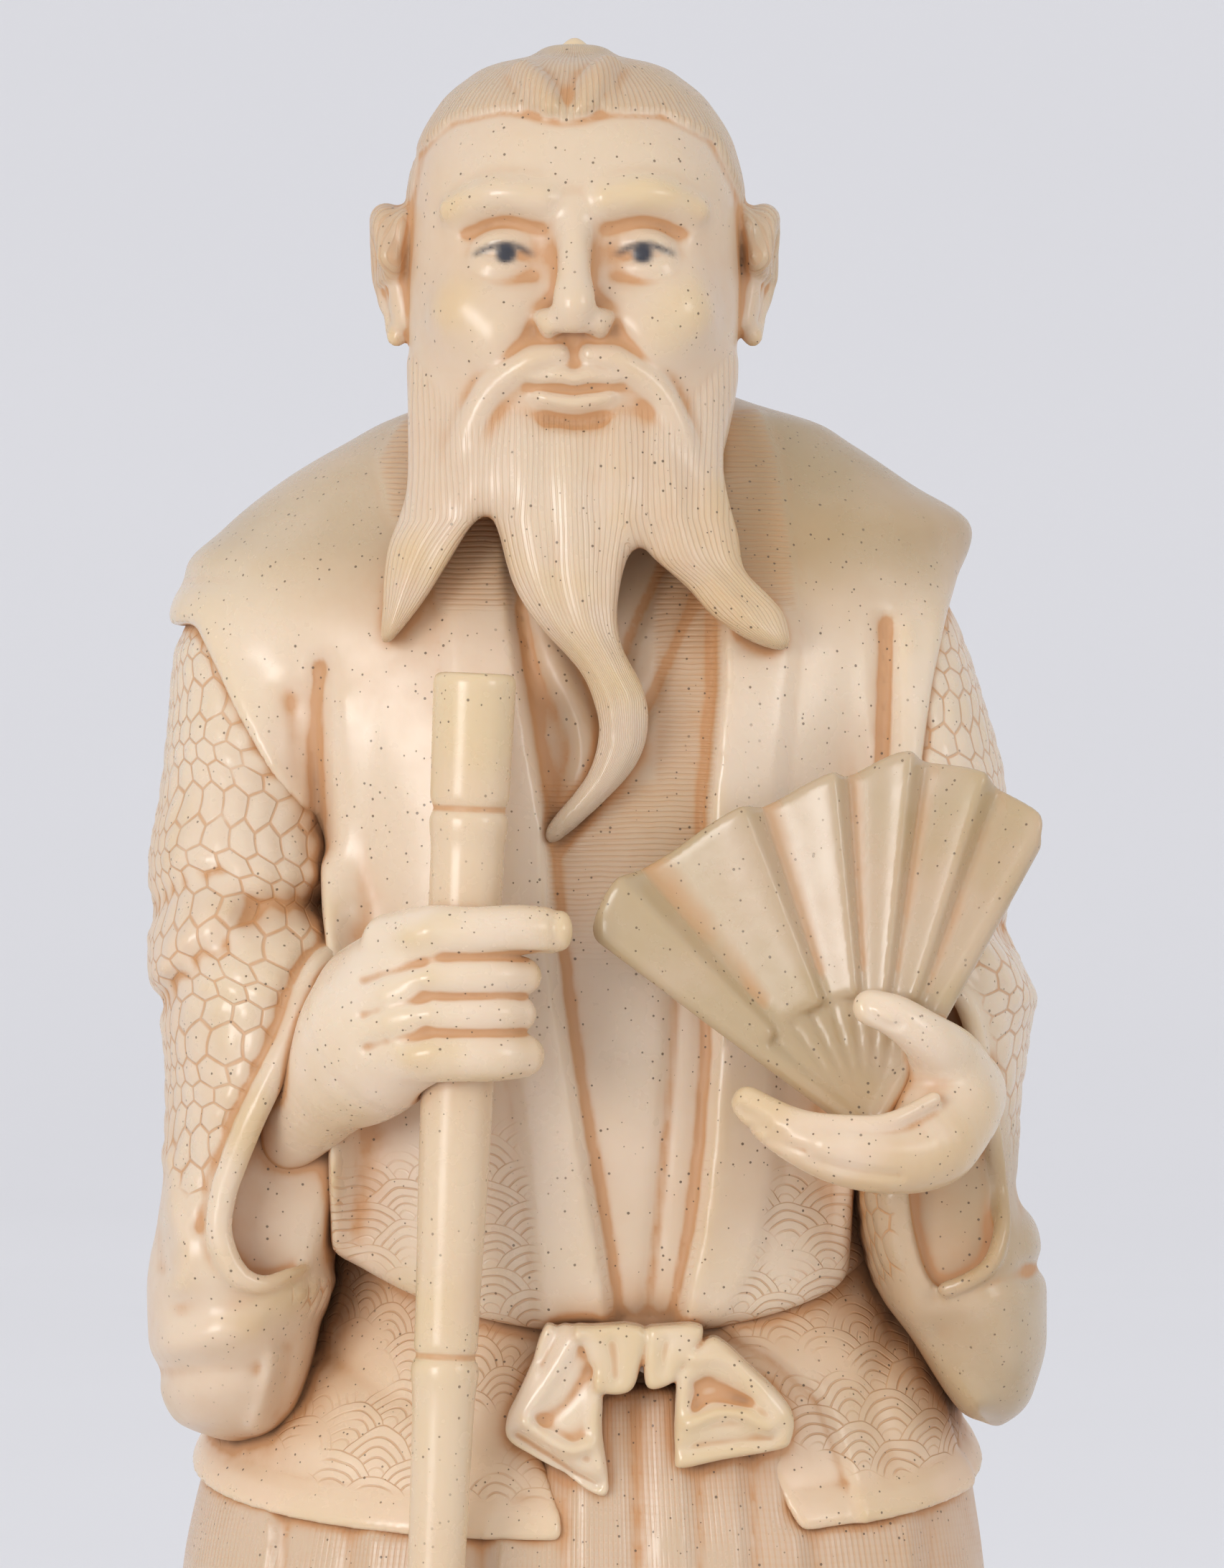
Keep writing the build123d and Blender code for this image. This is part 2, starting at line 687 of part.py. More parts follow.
with BuildPart() as fan:
    with BuildSketch(fan_plane.offset(-fan_thickness / 2)):
        Circle(fan_boss_radius)
    extrude(amount=fan_thickness)
    for pleat in range(fan_pleats):
        middle = fan_from + (pleat + 0.5) * pleat_angle
        half = fan_thickness / 2
        for radius in (fan_leaf_start, fan_radius):
            half_width = radius * tan(radians(pleat_angle / 2))
            tilt = fan_pleat_rise / 2 * (-1) ** pleat * radius / fan_radius
            with BuildSketch(pleat_plane(middle, radius)):
                with BuildLine():
                    Polyline(
                        (-half_width, -tilt - half),
                        (half_width, tilt - half),
                        (half_width, tilt + half),
                        (-half_width, -tilt + half),
                        close=True,
                    )
                make_face()
        loft(ruled=True)
        with BuildSketch(pleat_plane(middle, 0)):
            Rectangle(fan_stick_width, fan_thickness)
        extrude(amount=fan_leaf_start + fan_stick_sink)
fan.part.label = "fan"
export_step(fan.part, "parts/fan.step")

# Left hand: a cupped palm under the fan, with the thumb over its sticks
with BuildPart() as fan_slot:
    slot_half = (fan_thickness + fan_pleat_rise) / 2 + scribe_gap
    bisector = radians((fan_from + fan_to) / 2)
    apex_drop = (fan_boss_radius + scribe_gap) / sin(radians((fan_to - fan_from) / 2))
    apex = fan_plane.from_local_coords(Vector(-cos(bisector), -sin(bisector), 0) * apex_drop)
    slot_plane = Plane(apex, x_dir=fan_plane.x_dir, z_dir=fan_plane.z_dir)
    with BuildSketch(slot_plane.offset(-slot_half)):
        with BuildLine():
            rim = CenterArc((0, 0), fan_radius + apex_drop, fan_from, fan_to - fan_from)
            Polyline(rim @ 1, (0, 0), rim @ 0)
        make_face()
    extrude(amount=2 * slot_half)

with BuildPart() as left_hand:
    stations = [left_wrist] + left_palm
    sizes = [(wrist_half_height, wrist_half_depth)] + [place[3:] for place in left_hand_levels]
    for station, (half_height, half_depth) in enumerate(sizes):
        ahead = stations[min(station + 1, len(stations) - 1)]
        behind = stations[max(station - 1, 0)]
        sink = wrist_half_depth if station == 0 else 0
        with BuildSketch(across(stations[station], ahead - behind).offset(-sink)):
            Ellipse(half_height, half_depth)
    loft()
    with BuildLine() as thumb_line:
        ThreePointArc(*[fan_pivot + Vector(point) for point in left_thumb_points])
    thumb_path = thumb_line.wires()[0]
    with BuildSketch(Plane(thumb_path @ 0, z_dir=thumb_path % 0)):
        Circle(left_thumb_radius)
    sweep()
    with Locations(thumb_path @ 1):
        Sphere(left_thumb_radius)
    add(fan_slot.part, mode=Mode.SUBTRACT)
    add(sleeve_form(1, left_sleeve_levels, left_cuff, scribe_gap), mode=Mode.SUBTRACT)
    left_wrist_peg_plane = left_wrist_plane.offset(-wrist_peg_length / 2)
    add(peg_hole(left_wrist_peg_plane, wrist_peg_radius, wrist_peg_length), mode=Mode.SUBTRACT)
left_hand.part.label = "left_hand"
export_step(left_hand.part, "parts/left_hand.step")

# Sash bow: two loops and a knot, carved in one and scribed to the jacket's front
bow_plane = Plane((bow_shift, -waist_half_depth, sash - bow_drop), x_dir=(1, 0, 0), z_dir=(0, -1, 0))


def bow_piece(outline, thickness):
    """One loop of the bow, or its knot: a rounded slab."""
    with BuildPart() as slab:
        with BuildSketch(bow_plane):
            with BuildLine():
                Polyline(*outline, close=True)
            make_face()
            fillet(vertices(), bow_corner_round)
        extrude(amount=thickness)
        fillet(slab.faces().sort_by(Axis.Y)[0].edges(), bow_round)
    return slab.part


with BuildPart() as sash_bow:
    bow_thickness = bow_front - waist_half_depth
    add(bow_piece(right_loop, bow_thickness))
    add(bow_piece(left_loop, bow_thickness))
    add(bow_piece(bow_knot, bow_thickness + bow_knot_proud))
    add(jacket_form(scribe_gap), mode=Mode.SUBTRACT)
    add(torso_form(scribe_gap), mode=Mode.SUBTRACT)
    add(peg_hole(bow_peg_plane, bow_peg_radius, bow_peg_length), mode=Mode.SUBTRACT)
sash_bow.part.label = "sash_bow"
export_step(sash_bow.part, "parts/sash_bow.step")

# Head, with ears, nose and beard carved in one; its neck stands in the collar
skull_levels = (
    (chin, chin_reach, chin_half_width, chin_half_depth),
    (jaw, jaw_reach, jaw_half_width, jaw_half_depth),
    (cheek, cheek_reach, cheek_half_width, cheek_half_depth),
    (temple, skull_reach, skull_half_width, skull_half_depth),
    (brow, skull_reach, brow_half_width, brow_half_depth),
    (hairline, skull_reach, hairline_half_width, hairline_half_depth),
    (crown, skull_reach, crown_half_width, crown_half_depth),
)
topknot_plane = level(crown + scribe_gap, skull_reach - topknot_back, head_shift)
nose_front = skull_reach + skull_half_depth
skull = oval_loft(
    [
        (level(height, reach, head_shift), half_width, half_depth)
        for height, reach, half_width, half_depth in skull_levels
    ]
)
with BuildPart() as head:
    add(skull)
    for side in (-1, 1):
        ear_plane = Plane(
            (head_shift + side * (skull_half_width - ear_sink), -skull_reach, cheek + ear_height / 2),
            x_dir=(0, side, 0),
            z_dir=(side, 0, 0),
        )
        with BuildSketch(ear_plane):
            Ellipse(ear_depth / 2, ear_height / 2)
        extrude(amount=ear_sink + ear_thickness)
        fillet(head.faces().sort_by(Axis.X, reverse=side > 0)[0].edges(), ear_round)
    for lock in (middle_lock, right_lock, left_lock):
        for drop, lock_across, reach, half_width, half_depth in reversed(lock):
            with BuildSketch(level(chin - drop, reach, head_shift + lock_across)):
                Ellipse(half_width, half_depth)
        loft()
    for height, reach, half_width in (
        (temple, nose_front - nose_half_width, nose_half_width / 2),
        (temple - nose_length, nose_front + nose_reach - nose_half_width, nose_half_width),
    ):
        with BuildSketch(level(height, reach, head_shift)):
            Circle(half_width)
    loft()
    add(torso_form(scribe_gap), mode=Mode.SUBTRACT)
    with BuildSketch(level(collar, -neck_back, head_shift)):
        Circle(neck_radius)
    with BuildSketch(level(temple, nape_reach, head_shift)):
        Circle(nape_radius)
    loft()
    with BuildSketch(level(collar - neck_sink, -neck_back, head_shift)):
        Circle(neck_radius)
    extrude(amount=neck_sink)
    add(peg_hole(neck_plane, neck_peg_radius, neck_peg_length), mode=Mode.SUBTRACT)
    topknot_pin_plane = topknot_plane.offset(-topknot_pin_length)
    add(peg_hole(topknot_pin_plane, topknot_pin_radius, topknot_pin_length), mode=Mode.SUBTRACT)
head.part.label = "head"
export_step(head.part, "parts/head.step")

# Topknot: a small tied knob on a pin
with BuildPart() as topknot:
    with BuildSketch(topknot_pin_plane):
        Circle(topknot_pin_radius)
    extrude(amount=topknot_pin_length)
    with BuildSketch(topknot_plane):
        Circle(topknot_radius)
    with BuildSketch(topknot_plane.offset(topknot_height / 2)):
        Circle(topknot_radius)
    with BuildSketch(topknot_plane.offset(topknot_height)):
        Circle(topknot_radius / 2)
    loft()
topknot.part.label = "topknot"
export_step(topknot.part, "parts/topknot.step")

# Staff: a bamboo cane that thickens upward, straight through the fist, with a groove at each joint
fist_reach = max(finger_rows) * finger_pitch + finger_radius
cane_corners = (
    (staff_foot_radius, 0),
    (staff_grip_radius, staff_grip_length - fist_reach),
    (staff_grip_radius, staff_grip_length + fist_reach),
    (staff_top_radius, staff_length),
)


def cane_radius(along):
    """The staff's radius at a distance from its foot."""
    for (low_radius, low), (high_radius, high) in zip(cane_corners, cane_corners[1:]):
        if along <= high:
            return low_radius + (high_radius - low_radius) * (along - low) / (high - low)
    return staff_top_radius


staff_axis = Axis(staff_foot, staff_line)
cane_plane = Plane(staff_foot, x_dir=staff_plane.x_dir, z_dir=staff_plane.x_dir.cross(staff_line))
with BuildPart() as staff:
    with BuildSketch(cane_plane):
        with BuildLine():
            Polyline((0, 0), *cane_corners, (0, staff_length), close=True)
        make_face()
    revolve(axis=staff_axis)
    fillet(staff.edges().sort_by(Axis.Z)[-1], staff_top_round)
    for joint in cane_joints:
        with BuildSketch(cane_plane):
            with BuildLine():
                Polyline(
                    (cane_radius(joint) - cane_groove, joint),
                    (cane_radius(joint) + cane_groove, joint + 2 * cane_groove_half),
                    (cane_radius(joint) + cane_groove, joint - 2 * cane_groove_half),
                    close=True,
                )
            make_face()
        revolve(axis=staff_axis, mode=Mode.SUBTRACT)
staff.part.label = "staff"
export_step(staff.part, "parts/staff.step")

# Pegs on the middle line
with BuildPart() as spine_peg:
    add(peg(spine_plane, spine_peg_radius, spine_peg_length))
spine_peg.part.label = "spine_peg"
export_step(spine_peg.part, "parts/spine_peg.step")

with BuildPart() as neck_peg:
    add(peg(neck_plane, neck_peg_radius, neck_peg_length))
neck_peg.part.label = "neck_peg"
export_step(neck_peg.part, "parts/neck_peg.step")

with BuildPart() as bow_peg:
    add(peg(bow_peg_plane, bow_peg_radius, bow_peg_length))
bow_peg.part.label = "bow_peg"
export_step(bow_peg.part, "parts/bow_peg.step")
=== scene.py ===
from functools import partialmethod
from math import cos, pi, radians, sin, tan

import bpy
import numpy as np
import openvdb
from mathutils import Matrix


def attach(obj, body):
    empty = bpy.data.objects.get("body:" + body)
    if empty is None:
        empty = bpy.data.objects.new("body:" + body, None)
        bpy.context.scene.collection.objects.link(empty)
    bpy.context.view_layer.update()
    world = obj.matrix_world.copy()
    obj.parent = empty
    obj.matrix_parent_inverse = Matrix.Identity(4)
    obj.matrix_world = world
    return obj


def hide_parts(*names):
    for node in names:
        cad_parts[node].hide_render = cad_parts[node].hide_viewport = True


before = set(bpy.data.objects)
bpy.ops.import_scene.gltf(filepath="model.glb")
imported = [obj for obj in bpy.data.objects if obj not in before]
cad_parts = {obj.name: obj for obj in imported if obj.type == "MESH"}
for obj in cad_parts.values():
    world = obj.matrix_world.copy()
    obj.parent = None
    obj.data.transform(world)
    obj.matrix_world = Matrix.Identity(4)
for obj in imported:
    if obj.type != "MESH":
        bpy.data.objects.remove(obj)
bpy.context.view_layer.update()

# Base: an oval plinth of the same pale bone as the figure, turned, rubbed smooth and polished.
# The feet are pegged into it, and a blind hole near its front takes the foot of the staff.
# Every piece is carved from a blank: a fine grid that holds the distance to the carved surface.
MILLIMETRE = 0.001


def join(first, second, blend=0.0):
    """The nearer of two forms, with a fillet about as wide as the blend where they meet."""
    if not blend:
        return np.minimum(first, second)
    share = np.clip(0.5 + 0.5 * (first - second) / blend, 0, 1)
    return first + (second - first) * share - blend * share * (1 - share)


def common(first, second, blend=0.0):
    """What two forms share, with its edges rounded by the blend."""
    return -join(-first, -second, blend)


def smooth_line(rows, steps=6):
    """Rows of numbers along a smooth line through the given rows."""
    rows = np.array(rows, "f4")
    before = np.vstack([2 * rows[0] - rows[1], rows[:-1]])
    after = np.vstack([rows[1:], 2 * rows[-1] - rows[-2]])
    made = []
    for i in range(len(rows) - 1):
        a, b, c, d = before[i], rows[i], rows[i + 1], after[i + 1]
        for t in np.arange(steps) / steps:
            made.append(
                b + 0.5 * t * (c - a + t * (2 * a - 5 * b + 4 * c - d + t * (3 * b - a - 3 * c + d)))
            )
    return np.array(made + [rows[-1]], "f4")


def ease(at, values, where):
    """A smooth curve through values, with no overshoot between them."""
    at, values = np.array(at, "f4"), np.array(values, "f4")
    gaps = np.diff(at)
    slopes = np.diff(values) / gaps
    lean = np.concatenate([slopes[:1], np.zeros(len(slopes) - 1, "f4"), slopes[-1:]])
    for i in range(1, len(slopes)):
        if slopes[i] * slopes[i - 1] > 0:
            lean[i] = 2 * slopes[i] * slopes[i - 1] / (slopes[i] + slopes[i - 1])
    span = np.clip(np.searchsorted(at, where) - 1, 0, len(gaps) - 1)
    t = np.clip((where - at[span]) / gaps[span], 0, 1)
    step = t * t * (3 - 2 * t)
    bend = gaps[span] * t * (1 - t) * (lean[span] * (1 - t) - lean[span + 1] * t)
    return (values[span] * (1 - step) + values[span + 1] * step + bend).astype("f4")


def fade(gap, width):
    """One inside an edge and none outside it, passing smoothly over a width."""
    t = np.clip(0.5 - gap / width, 0, 1)
    return t * t * (3 - 2 * t)


def bell(gap, width):
    """One at a line and none away from it, passing smoothly over a width to each side."""
    return np.exp(-((gap / width) ** 2))


def blurred(form, reach):
    """A form averaged over a small box round each point."""
    for axis in range(3):
        ends = [(reach + 1, reach) if other == axis else (0, 0) for other in range(3)]
        run = np.cumsum(np.pad(form, ends, mode="edge"), axis, dtype="f4")
        count = form.shape[axis]
        upper = np.take(run, range(2 * reach + 1, 2 * reach + 1 + count), axis)
        lower = np.take(run, range(count), axis)
        form = (upper - lower) / (2 * reach + 1)
    return form


def run_gap(x, z, a, b):
    """Squared distance of places to a straight run from a to b, seen from the front."""
    run_x, run_z = b[0] - a[0], b[1] - a[1]
    t = ((x - a[0]) * run_x + (z - a[1]) * run_z) / max(run_x**2 + run_z**2, 1e-9)
    t = np.clip(t, 0, 1)
    return (x - a[0] - t * run_x) ** 2 + (z - a[1] - t * run_z) ** 2


def outline_gap(x, z, corners):
    """Distance of places to an outline, seen from the front, negative inside it."""
    gap, inside = 1e9, False
    for a, b in zip(corners, np.roll(corners, -1, 0)):
        gap = np.minimum(gap, run_gap(x, z, a, b))
        crossed = (a[1] <= z) != (b[1] <= z)
        inside = inside ^ (crossed & (x < a[0] + (b[0] - a[0]) * (z - a[1]) / ((b[1] - a[1]) or 1e-9)))
    return np.where(inside, -1, 1) * np.sqrt(gap)


def sampled(grid, places):
    """What a grid holds at places between its cells."""
    first = np.clip(np.floor(places).astype(int), 0, np.array(grid.shape) - 2)
    part = places - first
    held = 0
    for corner in np.ndindex(2, 2, 2):
        share = np.where(corner, part, 1 - part).prod(1)
        held = held + share * grid[tuple((first + corner).T)]
    return held


def ends_at(levels, height):
    """Where a stack of ovals ends left, right, front and back at a height."""
    table = np.array(levels, "f4")
    return [ease(table[:, 0], table[:, i], height) for i in range(1, 5)]


class Blank:
    """A block to carve, in millimetres. Its form is the distance to the surface, negative inside."""

    def __init__(self, low, high, pitch):
        self.pitch = pitch
        self.low = np.array(low, "f4")
        count = np.ceil((np.array(high) - self.low) / pitch).astype(int) + 1
        sides = [self.low[i] + pitch * np.arange(count[i], dtype="f4") for i in range(3)]
        self.x, self.y, self.z = np.ix_(*sides)
        self.form = np.full(count, 9.0, "f4")

    def add(self, form, blend=0.0):
        self.form = join(self.form, form, blend)

    def cut(self, form, blend=0.0):
        self.form = common(self.form, -form, blend)

    def sink(self, depth):
        """Lowers the surface by a depth, or with a negative one raises it."""
        self.form += depth.astype("f4")

    def trued(self, form):
        """A form with its slope brought to one, so that its numbers are millimetres."""
        slopes = np.gradient(form, self.pitch)
        steep = np.sqrt(sum(slope * slope for slope in slopes))
        return (form / steep.clip(0.25, 20)).astype("f4")

    def ovals(self, levels, square=2.0, lean=0.0):
        """A smooth stack of ovals: each level has its height and its left, right, front and back ends.
        With a lean the levels rise towards the back."""
        height = self.z - lean * self.y if lean else self.z
        left, right, front, back = ends_at(levels, height)
        across = np.abs(self.x - (left + right) / 2) / ((right - left) / 2)
        along = np.abs(self.y - (front + back) / 2) / ((back - front) / 2)
        round_out = (across**square + along**square) ** (1 / square)
        form = (round_out - 1) * np.minimum(right - left, back - front) / 2
        return self.trued(form)

    def bar(self, points, radii, flat=(1, 1, 1)):
        """A rounded bar along a smooth line: its window in the grid, and its form there."""
        rows = smooth_line(np.column_stack([np.array(points, "f4"), np.array(radii, "f4")]))
        reach = rows[:, 3].max() * max(flat) + 2.5
        low = (rows[:, :3].min(0) - reach - self.low) / self.pitch
        high = (rows[:, :3].max(0) + reach - self.low) / self.pitch
        low = np.floor(low).astype(int).clip(0, self.form.shape)
        high = np.ceil(high).astype(int).clip(0, self.form.shape)
        window = tuple(slice(a, b) for a, b in zip(low, high))
        x, y, z = self.x[window[0]], self.y[:, window[1]], self.z[:, :, window[2]]
        form = np.full([b - a for a, b in zip(low, high)], 9.0, "f4")
        for a, b in zip(rows, rows[1:]):
            run = b - a
            from_a = x - a[0], y - a[1], z - a[2]
            t = sum(gap * step for gap, step in zip(from_a, run[:3])) / max(run[:3] @ run[:3], 1e-9)
            t = np.clip(t, 0, 1)
            gaps = [(gap - t * step) / size for gap, step, size in zip(from_a, run[:3], flat)]
            form = np.minimum(form, np.sqrt(sum(gap * gap for gap in gaps)) - a[3] - t * run[3])
        return window, form

    def limb(self, points, radii, blend=0.6, flat=(1, 1, 1)):
        """Adds a rounded bar along a smooth line."""
        window, form = self.bar(points, radii, flat)
        self.form[window] = join(self.form[window], form, blend)

    def gouge(self, points, radii, blend=0.3, flat=(1, 1, 1)):
        """Cuts a rounded groove along a smooth line."""
        window, form = self.bar(points, radii, flat)
        self.form[window] = common(self.form[window], -form, blend)

    def outline(self, corners, steps=1):
        """Distance, seen from the front, to an outline of across and up corners; steps curve it."""
        if steps > 1:
            corners = np.array(corners, "f4")
            corners = smooth_line(np.vstack([corners, corners[:1]]), steps)[:-1]
        return outline_gap(self.x, self.z, corners)

    def prism(self, corners, steps=1):
        """An outline run through the blank from front to back."""
        return np.broadcast_to(self.outline(corners, steps), self.form.shape)

    def trace(self, points):
        """Distance, seen from the front, to a smooth line of across and up points."""
        line = smooth_line(points)
        gaps = [run_gap(self.x, self.z, a, b) for a, b in zip(line, line[1:])]
        return np.sqrt(np.minimum.reduce(gaps))

    def crease(self, points, depth, width, front=0.0):
        """A soft valley, or with a negative depth a soft ridge, along a line drawn on the front."""
        self.sink(depth * bell(self.trace(points), width) * fade(self.y - front, 2.0))

    def creases(self, *rows, front):
        """Several valleys and ridges, each given as a line, its depth and its width."""
        for points, depth, width in rows:
            self.crease(points, depth, width, front)

    def layer(self, corners, height, edge=0.5, steps=1, front=0.0):
        """Raises, or with a negative height sinks, an outlined panel on the front."""
        panel = fade(self.outline(corners, steps), edge)
        self.sink(-height * panel * fade(self.y - front, 2.0))


carved = []


def mark(piece, name, values):
    """Writes one number for each point of a piece, for its material to read."""
    data = piece.data.attributes.new(name, "FLOAT", "POINT").data
    data.foreach_set("value", np.ascontiguousarray(values, "f4"))


def carve_out(blank, name, node, material, body="figure"):
    """Makes the finished piece from its blank, and marks its finest hollows and edges."""
    blank.form = blurred(blank.form, 1)
    skin = 4 * blank.pitch
    grid = openvdb.FloatGrid(skin)
    grid.copyFromArray(np.clip(blank.form, -skin, skin))
    places, quads = grid.convertToQuads(0.0)
    points = blank.low + blank.pitch * places
    mesh = bpy.data.meshes.new(name)
    mesh.vertices.add(len(points))
    mesh.vertices.foreach_set("co", (points * MILLIMETRE).astype("f4").ravel())
    mesh.loops.add(quads.size)
    mesh.loops.foreach_set("vertex_index", quads.astype("i4").ravel())
    mesh.polygons.add(len(quads))
    mesh.polygons.foreach_set("loop_start", np.arange(0, quads.size, 4, dtype="i4"))
    mesh.polygons.foreach_set("use_smooth", np.ones(len(quads), bool))
    mesh.update(calc_edges=True)
    mesh.materials.append(material)
    piece = bpy.data.objects.new(name, mesh)
    bpy.context.scene.collection.objects.link(piece)
    reach = 0.6
    soft = blurred(np.clip(blank.form, -reach, reach), max(1, round(reach / blank.pitch)))
    mark(piece, "fine_hollow", -sampled(soft, places) / reach)
    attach(piece, body)
    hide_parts(node)
    carved.append((piece, blank, points))
    return piece, points


class Wire:
    """A number in a node tree. Sums, products and the like lay the nodes that work them out."""

    def __init__(self, tree, socket):
        self.tree, self.socket = tree, socket

    def math(self, operation, *values):
        node = self.tree.nodes.new("ShaderNodeMath")
        node.operation = operation
        for slot, value in zip(node.inputs, values):
            if isinstance(value, Wire):
                self.tree.links.new(value.socket, slot)
            else:
                slot.default_value = value
        return Wire(self.tree, node.outputs[0])

    def then(self, operation, *others):
        return self.math(operation, self, *others)

    def __rsub__(self, other):
        return self.math("SUBTRACT", other, self)

    __add__ = __radd__ = partialmethod(then, "ADD")
    __mul__ = __rmul__ = partialmethod(then, "MULTIPLY")
    __sub__ = partialmethod(then, "SUBTRACT")
    fraction = partialmethod(then, "FRACT")
    floor = partialmethod(then, "FLOOR")
    size = partialmethod(then, "ABSOLUTE")
    wave = partialmethod(then, "SINE")
    root = partialmethod(then, "SQRT")
    least = partialmethod(then, "MINIMUM")
    most = partialmethod(then, "MAXIMUM")
    above = partialmethod(then, "GREATER_THAN")

    def ramp(self, low, high):
        """None at the low number and one at the high one, with a smooth pass between."""
        node = self.tree.nodes.new("ShaderNodeMapRange")
        node.interpolation_type = "SMOOTHSTEP"
        self.tree.links.new(self.socket, node.inputs["Value"])
        node.inputs["From Min"].default_value = low
        node.inputs["From Max"].default_value = high
        return Wire(self.tree, node.outputs[0])


def marked(tree, name):
    """The number that a piece's points carry under a name."""
    node = tree.nodes.new("ShaderNodeAttribute")
    node.attribute_name = name
    return Wire(tree, node.outputs["Fac"])


def mixed(tree, share, first, second):
    """A colour between two others; each is a socket or three numbers."""
    node = tree.nodes.new("ShaderNodeMix")
    node.data_type = "RGBA"
    tree.links.new(share.socket, node.inputs["Factor"])
    for slot, colour in ((node.inputs[6], first), (node.inputs[7], second)):
        if isinstance(colour, tuple):
            slot.default_value = (*colour, 1)
        else:
            tree.links.new(colour, slot)
    return node.outputs[2]


def patches(tree, per_metre, detail=3.0, stretch=(1, 1, 1)):
    """Cloudy patches from none to one, of a size given as a count to the metre."""
    place = tree.nodes.new("ShaderNodeTexCoord")
    pull = tree.nodes.new("ShaderNodeMapping")
    pull.inputs["Scale"].default_value = [per_metre * part for part in stretch]
    noise = tree.nodes.new("ShaderNodeTexNoise")
    noise.inputs["Scale"].default_value = 1.0
    noise.inputs["Detail"].default_value = detail
    tree.links.new(place.outputs["Object"], pull.inputs["Vector"])
    tree.links.new(pull.outputs["Vector"], noise.inputs["Vector"])
    return Wire(tree, noise.outputs["Fac"])


